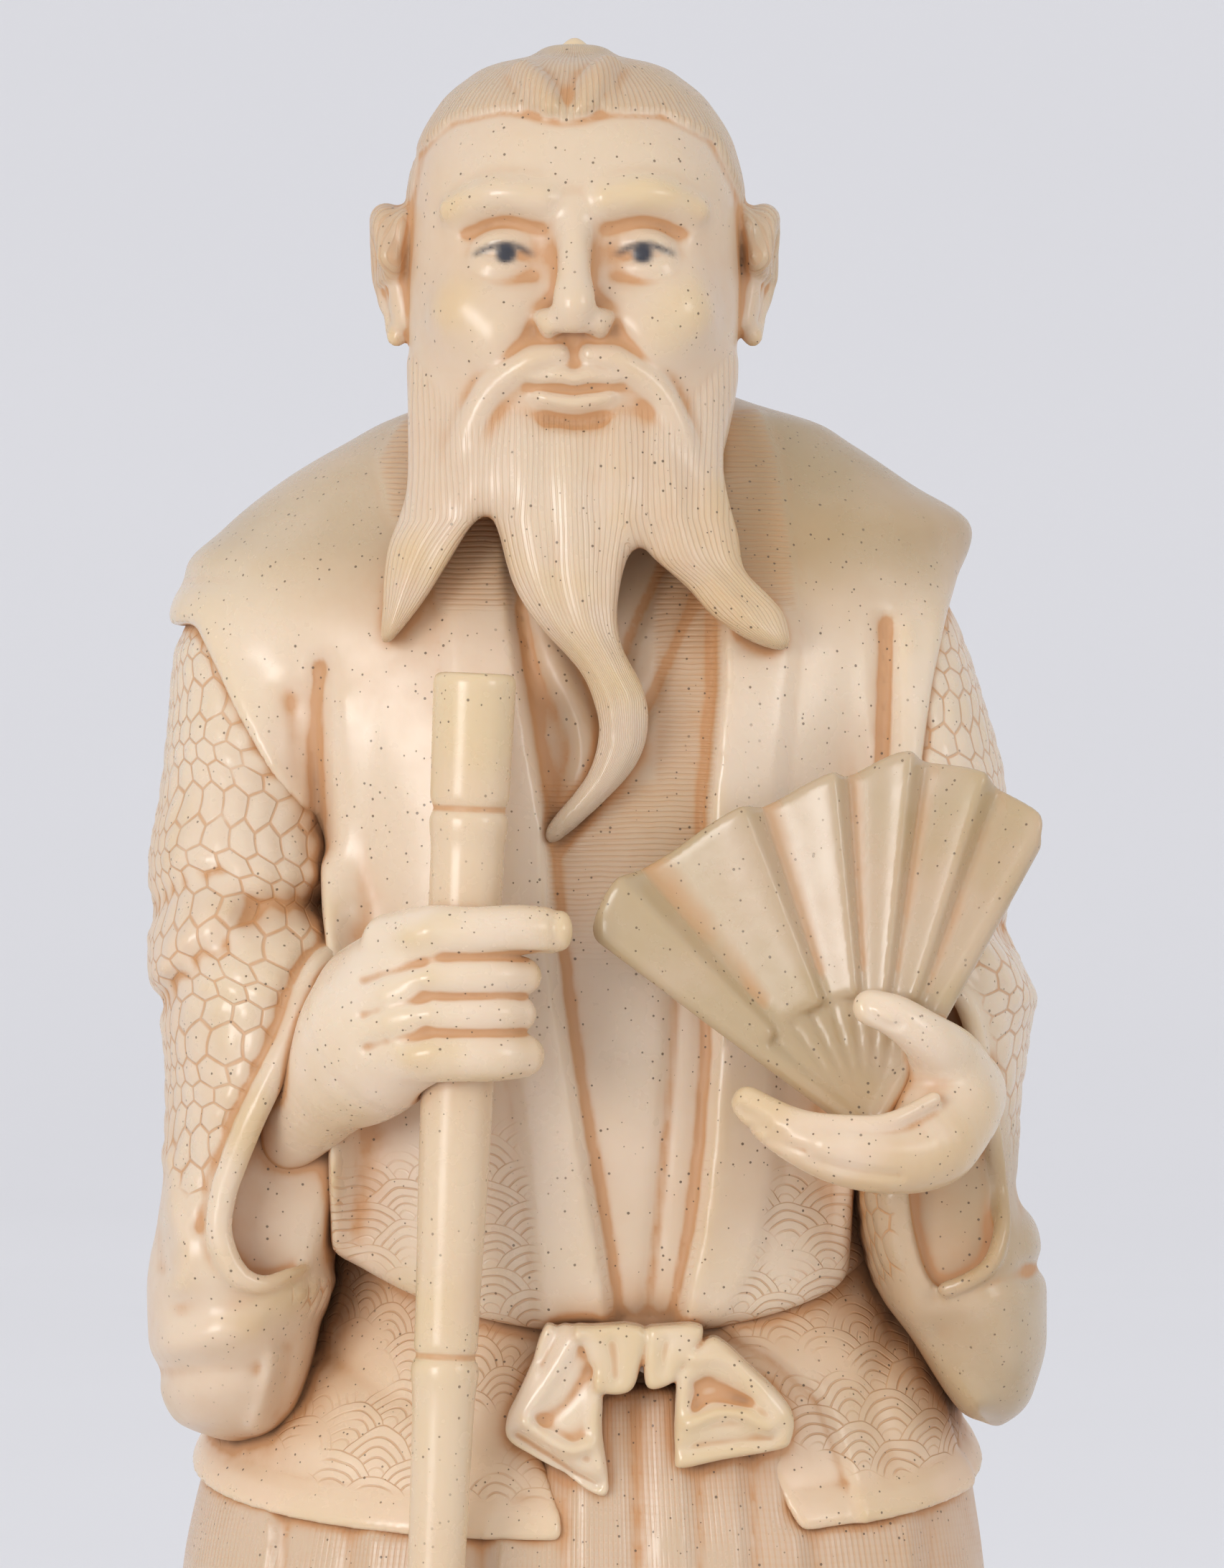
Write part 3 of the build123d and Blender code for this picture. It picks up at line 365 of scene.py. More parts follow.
def old_bone_group():
    """Old polished bone: brown stain with painted shade in its hollows, near black-brown grime with painted
    shade in the deepest ones, yellow where it was rubbed, with dark pores.
    """
    tree = bpy.data.node_groups.new("old_bone", "ShaderNodeTree")
    # The darkest colour is painted shade with grime, laid in the deepest hollows and between pieces.
    for name, kind, value in (
        ("Cut", "NodeSocketFloat", 0.0),
        ("Relief", "NodeSocketFloat", 0.0),
        ("Ink", "NodeSocketFloat", 0.0),
        ("Pale", "NodeSocketColor", (0.76, 0.615, 0.465, 1)),
        ("Rubbed", "NodeSocketColor", (0.69, 0.525, 0.32, 1)),
        ("Tanned", "NodeSocketColor", (0.43, 0.31, 0.17, 1)),
        ("Stain_and_shade", "NodeSocketColor", (0.55, 0.26, 0.095, 1)),
        ("Grime_and_shade", "NodeSocketColor", (0.17, 0.08, 0.035, 1)),
    ):
        slot = tree.interface.new_socket(name, in_out="INPUT", socket_type=kind)
        slot.default_value = value
    tree.interface.new_socket("Colour", in_out="OUTPUT", socket_type="NodeSocketColor")
    tree.interface.new_socket("Roughness", in_out="OUTPUT", socket_type="NodeSocketFloat")
    tree.interface.new_socket("Height", in_out="OUTPUT", socket_type="NodeSocketFloat")
    given = tree.nodes.new("NodeGroupInput")
    result = tree.nodes.new("NodeGroupOutput")
    cut = Wire(tree, given.outputs["Cut"])
    cloud, fine_cloud = patches(tree, 90), patches(tree, 700, 4)
    grain = patches(tree, 420, 5, (1, 1, 0.08))
    fine, hollow, deep = (marked(tree, name) for name in ("fine_hollow", "hollow", "deep"))
    broad_cloud = patches(tree, 38, 2)
    # Brown stain with painted shade: fine cuts, near hollows and broad hollows are washed towards the stain
    # colour, where shade also falls.
    stain_and_shade_wash = fine.ramp(0.02, 0.18) * 0.7 + hollow.ramp(0.0, 0.15) * 0.9 + deep.ramp(-0.04, 0.22) * 0.55
    stain_and_shade_wash = stain_and_shade_wash + broad_cloud.ramp(0.44, 0.68) * 0.28
    stain_and_shade_wash = (stain_and_shade_wash * (fine_cloud * 0.9 + cloud * 0.3 + 0.25)).least(1.0)
    crest = ((hollow * -1.0).ramp(0.04, 0.26) * 0.5 + (fine * -1.0).ramp(0.06, 0.3) * 0.5).least(1.0)
    handled = (deep * -1.0).ramp(0.02, 0.2)
    yellow = cloud.ramp(0.40, 0.62) * (handled * 0.8 + 0.2) + crest * 0.3
    yellow = (yellow + grain.ramp(0.5, 0.75) * 0.06).least(1.0)
    colour = mixed(tree, yellow, given.outputs["Pale"], given.outputs["Rubbed"])
    tan_share = (marked(tree, "tan") * (cloud * 0.8 + 0.55)).least(1.0)
    colour = mixed(tree, tan_share, colour, given.outputs["Tanned"])
    colour = mixed(tree, stain_and_shade_wash * 0.85, colour, given.outputs["Stain_and_shade"])
    lines = (cut * (fine_cloud * 0.7 + 0.45)).least(1.0)
    colour = mixed(tree, lines * 0.8, colour, given.outputs["Stain_and_shade"])
    # Painted shade with old grime: the deepest hollows and the places where pieces meet go near
    # black-brown.
    grime_and_shade = (hollow.ramp(0.11, 0.32) * 0.85 + deep.ramp(0.12, 0.33) * 0.65).least(1.0)
    grime_and_shade = grime_and_shade * (fine_cloud + 0.35).least(1.0)
    colour = mixed(tree, grime_and_shade * 0.85, colour, given.outputs["Grime_and_shade"])
    pores = tree.nodes.new("ShaderNodeTexVoronoi")
    pores.inputs["Scale"].default_value = 1650
    place = tree.nodes.new("ShaderNodeTexCoord")
    tree.links.new(place.outputs["Object"], pores.inputs["Vector"])
    shades = tree.nodes.new("ShaderNodeSeparateColor")
    tree.links.new(pores.outputs["Color"], shades.inputs[0])
    width = Wire(tree, shades.outputs[0]) * 0.12 + 0.06
    pore = (width - Wire(tree, pores.outputs["Distance"])).ramp(0.0, 0.03)
    pore = pore * Wire(tree, shades.outputs[1]).above(0.2)
    pore = pore * (cloud.ramp(0.3, 0.5) * 0.9 + stain_and_shade_wash * 0.6).least(1.0)
    colour = mixed(tree, pore * 0.85, colour, (0.12, 0.075, 0.04))
    colour = mixed(tree, Wire(tree, given.outputs["Ink"]), colour, (0.03, 0.03, 0.04))
    tree.links.new(colour, result.inputs["Colour"])
    rough = (stain_and_shade_wash * 0.28 + cut * 0.2 + grime_and_shade * 0.2 + fine_cloud * 0.12 + 0.20 - crest * 0.06).least(0.85)
    tree.links.new(rough.socket, result.inputs["Roughness"])
    height = Wire(tree, given.outputs["Relief"]) + fine_cloud * 0.015 - pore * 0.05
    tree.links.new(height.socket, result.inputs["Height"])
    return tree


old_bone = old_bone_group()


def bone(name, pattern=None, inked=False, **colours):
    """A material of old bone. A pattern gives the lines cut into it and their relief in millimetres."""
    material = bpy.data.materials.new(name)
    material.use_nodes = True
    tree = material.node_tree
    shader = tree.nodes["Principled BSDF"]
    tone = tree.nodes.new("ShaderNodeGroup")
    tone.node_tree = old_bone
    for socket, colour in colours.items():
        tone.inputs[socket].default_value = (*colour, 1)
    if pattern:
        cut, relief = pattern(tree)
        tree.links.new(cut.socket, tone.inputs["Cut"])
        tree.links.new(relief.socket, tone.inputs["Relief"])
    if inked:
        tree.links.new(marked(tree, "ink").socket, tone.inputs["Ink"])
    bump = tree.nodes.new("ShaderNodeBump")
    bump.inputs["Distance"].default_value = MILLIMETRE
    bump.inputs["Strength"].default_value = 0.8
    tree.links.new(tone.outputs["Colour"], shader.inputs["Base Color"])
    tree.links.new(tone.outputs["Roughness"], shader.inputs["Roughness"])
    tree.links.new(tone.outputs["Height"], bump.inputs["Height"])
    tree.links.new(bump.outputs["Normal"], shader.inputs["Normal"])
    shader.inputs["IOR"].default_value = 1.54
    shader.inputs["Subsurface Weight"].default_value = 0.25
    shader.inputs["Subsurface Radius"].default_value = (1.0, 0.55, 0.3)
    shader.inputs["Subsurface Scale"].default_value = 1.2 * MILLIMETRE
    return material


staff_foot = np.array((-12.6, -24.8, 5.5))
staff_grip = np.array((-8.4, -25.2, 102.0))
staff_line = (staff_grip - staff_foot) / np.linalg.norm(staff_grip - staff_foot)


def from_staff(blank):
    """Distance from the staff's line, and how far along it from its foot."""
    x, y, z = (axis - start for axis, start in zip((blank.x, blank.y, blank.z), staff_foot))
    along = x * staff_line[0] + y * staff_line[1] + z * staff_line[2]
    return np.sqrt((x * x + y * y + z * z - along * along).clip(0)), along


base_half_width, base_half_depth, base_height = 35.0, 31.0, 8.0
socket_radius = 1.8
blank = Blank((-37, -33, -1), (37, 33, 9.5), 0.4)
across, along = blank.x / base_half_width, blank.y / base_half_depth
blank.form = blank.trued(((across**2 + along**2) ** 0.5 - 1 + 0 * blank.z) * base_half_depth)
blank.form = common(blank.form, np.abs(blank.z - base_height / 2) - base_height / 2, 1.6)
hole, along = from_staff(blank)
blank.cut(np.maximum(hole - socket_radius, -along), 0.1)
carve_out(blank, "plinth", "base_plinth", bone("plinth_bone"))

# Feet: plain split-toed socks, carved apart and pegged between the base and the trousers.
# They are of the same bone, and only the toes show past the hem.
foot_spread, foot_back, foot_tip = 5.6, -2.4, -26.0
for side, name in ((-1, "right"), (1, "left")):
    middle = side * foot_spread
    blank = Blank((middle - 6.5, foot_tip - 2, 6.5), (middle + 6.5, foot_back + 2, 16), 0.25)
    line = ((middle, foot_back - 4.2, 11.4), (middle, -14, 11.0), (middle, foot_tip + 4.2, 10.6))
    blank.limb(line, (4.2, 4.1, 4.3), flat=(1, 1, 0.85))
    toe_split = ((middle - side * 1.4, foot_tip - 1, 12.4), (middle - side * 1.2, -19.5, 14.8))
    blank.gouge(toe_split, (0.35, 0.3))
    blank.form = common(blank.form, base_height + 0.05 - blank.z, 0.8)
    carve_out(blank, name + "_sock", name + "_foot", bone(name + "_sock_bone"))

# Trousers: wide pleated formal trousers down to the feet, one block of bone with the pleats cut into it.
# Close upright lines show the cloth; the block is pegged on the feet and takes the spine peg on top.
hem_lean = tan(radians(12))
jacket_hem = 69.0
trouser_hem = 14.0
trouser_levels = (
    (trouser_hem - 2, -30.6, 30.4, -22.6, 22.8),
    (30, -30.2, 30.0, -22.5, 22.4),
    (48, -29.4, 29.2, -22.0, 21.6),
    (61.8, -28.2, 28.0, -20.4, 20.6),
    (71, -26.2, 26.6, -18.8, 19.4),
    (80, -24.4, 25.0, -17.8, 18.4),
)
front_folds = (
    (-21.5, -1), (-15.6, 1), (-6.5, 1), (-0.8, 1), (7.4, -1), (11.2, -1), (15.4, -1), (23.4, -1),
)
back_folds = ((-19, 1), (-9, 1), (0, 1), (9, -1), (19, -1))
fold_step, fold_flare, flare_from, slit_place = 0.75, 0.0035, 61.8, 3.7
parting_middle, parting_half = 5.6, 8.4


def close_weave(tree):
    """Close upright lines with faint level ones, cut with a comb."""
    wander = patches(tree, 300, 2, (1, 1, 0.1))
    upright = ((marked(tree, "round") * 15.0 + wander * 1.8).wave()).ramp(-0.2, 1.0)
    level = ((marked(tree, "rise") * 12.0 + patches(tree, 200) * 6.0).wave()).ramp(0.0, 1.0)
    worn = patches(tree, 130).ramp(0.35, 0.6)
    cut = upright * worn * 0.45 + level * worn * 0.12
    return cut, cut * -0.05


trouser_bone = bone("trouser_bone", close_weave, Pale=(0.63, 0.465, 0.325), Rubbed=(0.53, 0.39, 0.22))
blank = Blank((-33, -26, 12), (33, 26, 79), 0.46)
blank.form = blank.ovals(trouser_levels, 2.2)
spread = 1 + (flare_from - blank.z) * fold_flare
for folds, to_front in ((front_folds, True), (back_folds, False)):
    step = 0
    for place, lap in folds:
        past = (blank.x - place * spread) * lap
        over = fade(-past, 0.7) * np.exp(-np.clip(past, 0, None) / 3.2)
        step = step + fold_step * over - 0.35 * bell(past + 0.3, 0.45)
    face = fade(blank.y + 4, 4) if to_front else fade(4 - blank.y, 4)
    blank.sink(-step * face)
blank.sink(0.7 * bell(blank.x - slit_place * spread, 0.7) * fade(blank.y, 4))
hem_wave = 0.5 * np.sin(np.arctan2(blank.x, -blank.y) * 9)
blank.form = common(blank.form, trouser_hem + 0.1 + 0.3 * hem_wave - blank.z, 1.0)
parting = fade(np.abs(blank.x - parting_middle) - parting_half, 2.5)
level = blank.z - blank.y * hem_lean
blank.sink(0.9 * fade(jacket_hem + 0.2 - level, 0.8) * (1 - parting))
rise = 2.2 + 7.6 * parting
blank.form = common(blank.form, blank.z - (jacket_hem + rise + blank.y * hem_lean), 0.5)
trousers, points = carve_out(blank, "pleated_trousers", "trousers", trouser_bone)
mark(trousers, "round", np.arctan2(points[:, 0], -points[:, 1] - 2) * 24)
mark(trousers, "rise", points[:, 2])

# Jacket's skirt: the short skirts of the robe below the sash, one block between trousers and torso.
# Waves in rows are engraved over it, with a plain border at the hem, and its fronts part below the bow.
skirt_levels = (
    (64, -27.9, 28.0, -20.9, 21.0),
    (68.4, -27.3, 27.6, -20.6, 20.6),
    (72.5, -25.8, 26.4, -19.8, 19.6),
    (76, -23.6, 25.6, -18.6, 18.2),
    (79.5, -20.8, 24.0, -17.0, 16.6),
    (82, -19.4, 22.6, -15.8, 15.4),
    (86, -18.6, 21.4, -14.8, 14.6),
)
fronts_part = (
    (-2.6, 75), (-3.0, 70.6), (-1.6, 66), (-1.4, 62), (16.4, 60), (14.9, 65), (12.2, 69.6), (11.4, 74),
)
right_flap = (
    (9.2, 79), (13.0, 77.0), (16.3, 74.0), (17.9, 69.8), (19.0, 66), (19.6, 60), (34, 60), (34, 84),
    (12, 84),
)
left_flap = ((-2.6, 75), (-3.4, 69.9), (-6.0, 65.8), (-7, 62), (0, 62), (0, 75))
border_height, parting_back = 2.3, -15.5


def wave_lines(tree):
    """Rows of overlapping round waves, each of several rings, worn faint in places."""
    width, rings = 6.2, 0.62
    rows, reach = width / 4, width / 2
    stir = patches(tree, 160, 2)
    u = marked(tree, "round") + stir * 1.6
    v = marked(tree, "rise") + patches(tree, 190, 2) * 1.4
    lowest = (v * (1 / rows)).floor() - 1.0
    from_middle = None
    for step in (3, 2, 1, 0):
        row = lowest + float(step)
        shift = (row * 0.5).fraction() * width
        sideways = ((u - shift) * (1 / width) + 0.5).fraction() * width - reach
        upward = v - row * rows
        gap = (sideways * sideways + upward * upward).root()
        if from_middle is None:
            from_middle = gap
        else:
            inside = reach - gap
            in_front = inside.above(0.0)
            from_middle = from_middle * (1.0 - in_front) + gap * in_front
    ring = ((from_middle * (1 / rings)).fraction() - 0.5).size()
    line = ring.ramp(0.34, 0.46) * from_middle.ramp(0.4, 0.9)
    shown = patches(tree, 140, 2).ramp(0.40, 0.52) * marked(tree, "waves")
    return line * shown


def wave_cloth(tree):
    """The waves, stained and cut in."""
    line = wave_lines(tree)
    return line * 0.8, line * -0.07


skirt_bone = bone("skirt_bone", wave_cloth, Pale=(0.78, 0.59, 0.41))
blank = Blank((-30, -24, 60), (30, 24, 88), 0.3)
blank.form = blank.ovals(skirt_levels, 2.15, hem_lean)
level = blank.z - blank.y * hem_lean
edge = jacket_hem - 0.3
blank.form -= 0.28 * fade(level - edge - border_height, 0.3) + 0.25 * fade(level - edge - 1.2, 2.0)
blank.layer(right_flap, 0.45, 0.5, front=-6)
blank.layer(left_flap, -0.2, 0.5, front=-6)
blank.creases(
    (((-19, 77.5), (-14, 74.2), (-9, 73.0)), 0.35, 1.1),
    (((21.5, 79.0), (20.0, 74.0), (21.0, 70.0)), 0.4, 1.2),
    (((-22, 74.5), (-20, 71.5), (-17, 70.2)), -0.3, 1.3),
    front=-4,
)
blank.form = common(blank.form, edge - level, 0.5)
blank.cut(np.maximum(blank.prism(fronts_part), blank.y - parting_back), 0.4)
skirt, points = carve_out(blank, "robe_skirt", "jacket_skirt", skirt_bone)
mark(skirt, "round", np.arctan2(points[:, 0], -points[:, 1]) * 23)
mark(skirt, "rise", points[:, 2] - points[:, 1] * hem_lean)
away_from_seam = 1 - fade(np.abs(points[:, 0]) - 1.2, 0.8) * (points[:, 1] > 0)
above_border = fade(jacket_hem + border_height + 0.2 - (points[:, 2] - points[:, 1] * hem_lean), 0.4)
mark(skirt, "waves", above_border * away_from_seam)

# Sleeves: two hanging sleeves, each carved apart, scribed to the torso and hung on a hidden peg.
# Scales are engraved on them; each has a rolled cuff in front and hangs down in a smooth bag.
right_sleeve_levels = (
    (70.6, -27.2, -21.0, -11, -2),
    (72.2, -28.8, -19.8, -14.5, 1.5),
    (76, -30.1, -18.9, -17.6, 3.5),
    (81, -30.5, -18.0, -19.6, 5.0),
    (86, -30.1, -16.8, -20.4, 6.0),
    (90, -29.1, -15.8, -20.8, 6.6),
    (96, -29.1, -15.2, -21.2, 7.4),
    (102, -29.8, -14.8, -21.2, 8.0),
    (106, -30.4, -15.0, -19.4, 8.6),
    (110.5, -30.4, -16.2, -16.6, 9.0),
    (116, -29.6, -17.0, -14.0, 9.5),
    (121, -29.1, -17.6, -12.2, 9.6),
    (125, -28.8, -18.6, -10.4, 9.0),
    (128, -27.6, -19.6, -7.4, 7.4),
    (130.5, -25.0, -21.0, -3.0, 4.5),
)
left_sleeve_levels = (
    (71.6, 27.0, 30.4, -10, -3),
    (74, 25.6, 31.3, -14, 1.0),
    (78, 23.2, 32.2, -17.0, 3.5),
    (81, 20.6, 32.2, -18.4, 4.6),
    (85, 19.2, 31.7, -19.4, 5.6),
    (89, 18.4, 30.2, -20.0, 6.4),
    (93, 17.8, 30.2, -20.4, 7.0),
    (100.6, 16.8, 31.0, -20.6, 8.0),
    (103.8, 16.6, 30.8, -19.8, 8.4),
    (106.6, 16.8, 29.6, -18.4, 8.8),
    (110, 17.0, 29.7, -16.4, 9.0),
    (116.6, 17.4, 29.3, -14.0, 9.4),
    (122.4, 17.8, 27.8, -12.0, 9.4),
    (127, 18.4, 26.3, -9.6, 8.6),
    (130, 19.2, 24.8, -6.4, 6.8),
    (132.5, 20.6, 23.0, -2.0, 3.0),
)
sleeve_square = 2.25


def front_of(levels, x, z, square=sleeve_square):
    """How far forward a stack of ovals reaches at a place on its front."""
    ends = ends_at(levels, np.array([z], "f4"))
    left, right, front, back = (end[0] for end in ends)
    share = min(abs(x - (left + right) / 2) / ((right - left) / 2), 1)
    return (front + back) / 2 - (back - front) / 2 * (1 - share**square) ** (1 / square)


right_rim = (
    (-15.6, 106.0), (-18.0, 104.2), (-19.1, 102.2), (-20.2, 99.0), (-21.4, 96.4), (-22.8, 93.5),
    (-24.1, 90.3), (-24.8, 88.2), (-25.1, 85.8), (-24.5, 83.7), (-23.5, 82.4), (-22.0, 82.0),
    (-20.2, 82.7), (-19.0, 83.2),
)
right_mouth = right_rim + ((-16.0, 84.4), (-13.0, 87.0), (-12, 92.5), (-12, 100), (-12, 106.4))
left_rim = (
    (25.0, 102.4), (26.1, 101.3), (27.1, 98.1), (28.0, 93.4), (28.6, 88.75), (28.8, 85.9), (28.0, 83.4),
    (26.4, 82.2), (24.9, 81.6),
)
left_mouth = left_rim + ((23.6, 82.6), (22.6, 86), (22.2, 90), (22.0, 95), (22.0, 102))
scale_width, scale_height = 2.1, 0.24


def scale_places(points, levels):
    """Where a point of a sleeve lies on its cloth: round the sleeve and up it, a little uneven."""
    x, y, z = points
    left, right, front, back = ends_at(levels, z)
    turn = np.arctan2(x - (left + right) / 2, -(y - (front + back) / 2))
    round_it = turn * 12.5 + 0.4 * np.sin(0.9 * z + 1.0) + 0.3 * np.sin(8.0 * turn + 0.5 * z)
    up_it = z + 0.5 * np.sin(turn * 5.0) + 0.4 * np.sin(0.8 * z + 2.0 * turn)
    return round_it, up_it


def scale_domes(u, v):
    """The swell of each six-sided scale, one at its middle and none at its edge."""
    tall = scale_width * 3**0.5
    reach = scale_width
    for half in (0, 0.5):
        a = np.abs((u / scale_width + half) % 1 - 0.5) * scale_width
        b = np.abs((v / tall + half) % 1 - 0.5) * tall
        reach = np.minimum(reach, np.maximum(a, a / 2 + b * 0.866))
    return np.clip(1 - (2 * reach / scale_width) ** 2, 0, 1)


def scale_cloth(tree):
    """Six-sided scales, each outlined with a fine stained line."""
    tall = scale_width * 3**0.5
    u, v = marked(tree, "round"), marked(tree, "rise")
    reaches = []
    for half in (0.0, 0.5):
        a = ((u * (1 / scale_width) + half).fraction() - 0.5).size() * scale_width
        b = ((v * (1 / tall) + half).fraction() - 0.5).size() * tall
        reaches.append(a.most(a * 0.5 + b * 0.866))
    border = scale_width / 2 - reaches[0].least(reaches[1])
    line = (0.15 - border).ramp(0.0, 0.12) * marked(tree, "scales") * patches(tree, 260).ramp(0.15, 0.42)
    return line, line * -0.06


def sleeve_blank(low, high, levels):
    """A sleeve in the rough: its stack of ovals, rounded off at the foot and the shoulder."""
    rough = Blank(low, high, 0.25)
    middle, half = (levels[-1][0] + levels[0][0]) / 2, (levels[-1][0] - levels[0][0]) / 2
    rough.form = common(rough.ovals(levels, sleeve_square), np.abs(rough.z - middle) - half, 2.5)
    return rough


right_blank = sleeve_blank((-33, -24, 69), (-12, 12, 133), right_sleeve_levels)
right_blank.creases(
    (((-29.6, 103.2), (-28.2, 105.2), (-26.4, 106.8), (-24.4, 107.8)), -0.6, 1.0),
    (((-29.4, 101.2), (-27.0, 103.6), (-24.8, 105.2)), 0.5, 0.9),
    (((-30.4, 107.4), (-28.0, 109.4), (-25.4, 110.2)), 0.6, 1.0),
    (((-23.0, 107.6), (-19.5, 107.9), (-15.4, 107.4)), 1.8, 1.5),
    (((-27.4, 80.4), (-24.6, 80.5), (-21.6, 79.6)), 0.5, 1.4),
    (((-28.6, 77.6), (-25.0, 78.5), (-21.0, 80.0), (-18.2, 81.6)), -0.5, 1.3),
    (((-29.6, 75.6), (-26.0, 76.1), (-22.6, 76.2)), 0.5, 1.1),
    (((-21.5, 76.6), (-22.0, 74.0), (-22.8, 72.0)), -0.45, 0.6),
    (((-20.5, 77.4), (-20.9, 75.0), (-21.4, 72.8)), 0.35, 0.8),
    (((-29.0, 90.2), (-28.4, 87.0), (-27.5, 84.2), (-27.9, 81.8)), -0.5, 0.9),
    (((-30.0, 89.0), (-29.6, 86.0), (-29.1, 83.0)), 0.4, 0.9),
    front=-2,
)
right_blank.crease([(x - 1.35, z + 0.1) for x, z in right_rim[:9]], 0.4, 0.42, front=-2)
right_inside = right_blank.prism(right_mouth, 3)
slant = right_blank.y + 16.4 - 0.1 * (right_blank.x + 20)
right_blank.cut(np.maximum(right_inside, slant), 0.8)
right_line = [(x, front_of(right_sleeve_levels, x, z) + 0.1, z) for x, z in right_rim]
right_blank.limb(right_line, ease((0, 3, 9, 13), (0.8, 1.0, 0.9, 0.3), np.arange(14.0)), 0.3)

left_blank = sleeve_blank((14, -24, 70), (34, 12, 134.5), left_sleeve_levels)
left_blank.creases(
    (((31.0, 104.0), (28.0, 107.2), (24.0, 108.6)), 0.7, 1.1),
    (((31.0, 101.5), (28.5, 104.0), (25.0, 105.0)), -0.5, 1.2),
    (((24.4, 81.2), (27.5, 82.0), (30.5, 82.7), (32.2, 83.0)), 0.5, 0.8),
    (((20.6, 88.0), (21.2, 84.0), (22.4, 80.0), (24.0, 76.4), (26.8, 73.4)), -0.6, 1.2),
    (((30.6, 88.5), (29.9, 85.0), (30.6, 82.5)), 0.35, 0.8),
    (((25.6, 79.0), (27.6, 76.6), (29.0, 74.4)), 0.35, 1.4),
    front=-2,
)
left_inside = left_blank.prism(left_mouth, 3)
left_blank.cut(np.maximum(left_inside, left_blank.y + 16.6), 0.8)
left_line = [(x, front_of(left_sleeve_levels, x, z) + 0.35, z) for x, z in left_rim]
left_blank.limb(left_line, np.linspace(0.7, 0.6, len(left_rim)), 0.4)

for side, blank, levels, inside, tanned in (
    ("right", right_blank, right_sleeve_levels, right_inside, 0.0),
    ("left", left_blank, left_sleeve_levels, left_inside, 0.65),
):
    u, v = scale_places((blank.x, blank.y, blank.z), levels)
    here = fade(61 + np.abs(blank.x) - blank.z, 1.6) * fade(1.3 - inside, 0.8)
    blank.sink(-scale_height * scale_domes(u, v) * here)
    sleeve_bone = bone(side + "_sleeve_bone", scale_cloth)
    cloth, points = carve_out(blank, side + "_sleeve_cloth", side + "_sleeve", sleeve_bone)
    u, v = scale_places(points.T, levels)
    spot = tuple(np.rint((points - blank.low) / blank.pitch).astype(int).T)
    mark(cloth, "round", u)
    mark(cloth, "rise", v)
    mark(cloth, "scales", here[spot])
    mark(cloth, "tan", tanned * fade(points[:, 2] - 93, 8) + 0.1)

# Torso: robe and sleeveless vest, one block of bone from the sash to the collar, set on the spine peg.
# The vest's fronts hang open over crossed robes, and its shoulders stand out over the sleeves.
torso_levels = (
    (74, -18.6, 19.6, -14.6, 14.8),
    (78, -18.8, 20.6, -15.4, 15.2),
    (81, -19.2, 21.0, -16.8, 15.8),
    (85, -19.5, 21.0, -17.4, 16.2),
    (91, -19.8, 20.6, -17.9, 16.6),
    (100, -20.0, 20.0, -18.3, 17.0),
    (112, -20.4, 20.4, -18.5, 17.8),
    (119, -22.8, 22.4, -18.0, 18.4),
    (125, -25.6, 24.4, -16.8, 18.8),
    (128.5, -27.4, 25.2, -15.6, 18.6),
    (131, -27.2, 25.9, -14.4, 18.2),
    (133.7, -24.8, 26.4, -12.8, 17.6),
    (137.2, -20.4, 21.8, -10.2, 16.0),
    (141, -13.6, 15.4, -7.0, 13.4),
    (143, -9.0, 9.6, -5.0, 11.0),
    (145, -5.0, 4.6, -2.0, 8.0),
)
torso_square = 2.5
vest_thickness = 0.9
right_armhole = (
    (-31, 126.2), (-29.6, 127.4), (-27.2, 127.6), (-25.6, 124.4), (-24.3, 121.6), (-22.3, 118.0),
    (-20.3, 114.4), (-18.3, 111.3),
)
left_armhole = (
    (22.8, 110), (23.4, 118.5), (24.2, 123.6), (25.2, 128.0), (26.2, 131.2), (27.5, 133.4), (30, 134),
)
vest_outline = right_armhole + ((-17.8, 104), (-17.5, 70), (17.5, 70), (19.5, 100))
vest_outline += left_armhole + ((30, 150), (-31, 150))
left_edge = (
    (-9.0, 142), (-5.4, 134), (-5.1, 130.5), (-4.4, 124.5), (-3.6, 119), (-2.6, 113.5), (-2.2, 106),
    (-1.4, 99.6), (-0.34, 92.9), (0.7, 87.2), (2.0, 79.0),
)
right_edge = (
    (6.4, 79.0), (7.9, 86), (8.5, 91.3), (9.0, 98.2), (8.7, 106), (8.6, 114.4), (9.0, 118.8),
    (9.4, 123.6), (9.3, 127.5), (8.6, 134), (9.0, 142),
)
right_band = (
    (12.0, 143), (13.2, 139.5), (14.1, 133.3), (14.6, 128.7), (14.4, 125.5), (13.6, 116.8), (13.4, 100),
    (13.3, 90.2), (12.6, 86.7), (11.7, 83), (9.4, 79.0),
)
left_band = (
    (-12.2, 143), (-14.3, 139), (-13.4, 135.2), (-11, 131.5), (-9.7, 128.5), (-9.2, 118), (-7.4, 106),
    (-4.7, 95.5), (-3.2, 82.2), (-3.0, 79),
)
left_front, right_front = left_edge + left_band[::-1], right_edge + right_band


def robe_cloth(tree):
    """Waves low on the robe, and close ribs on the collar and the robes inside the vest."""
    waves = wave_lines(tree)
    ribs = ((marked(tree, "rise") * 17.0 + patches(tree, 240, 2) * 9.0).wave()).ramp(-0.3, 1.0)
    woven = marked(tree, "woven")
    cut = waves * 0.75 + woven * (ribs * 0.28 + 0.32)
    return cut, (waves * 0.07 + woven * ribs * 0.045) * -1.0


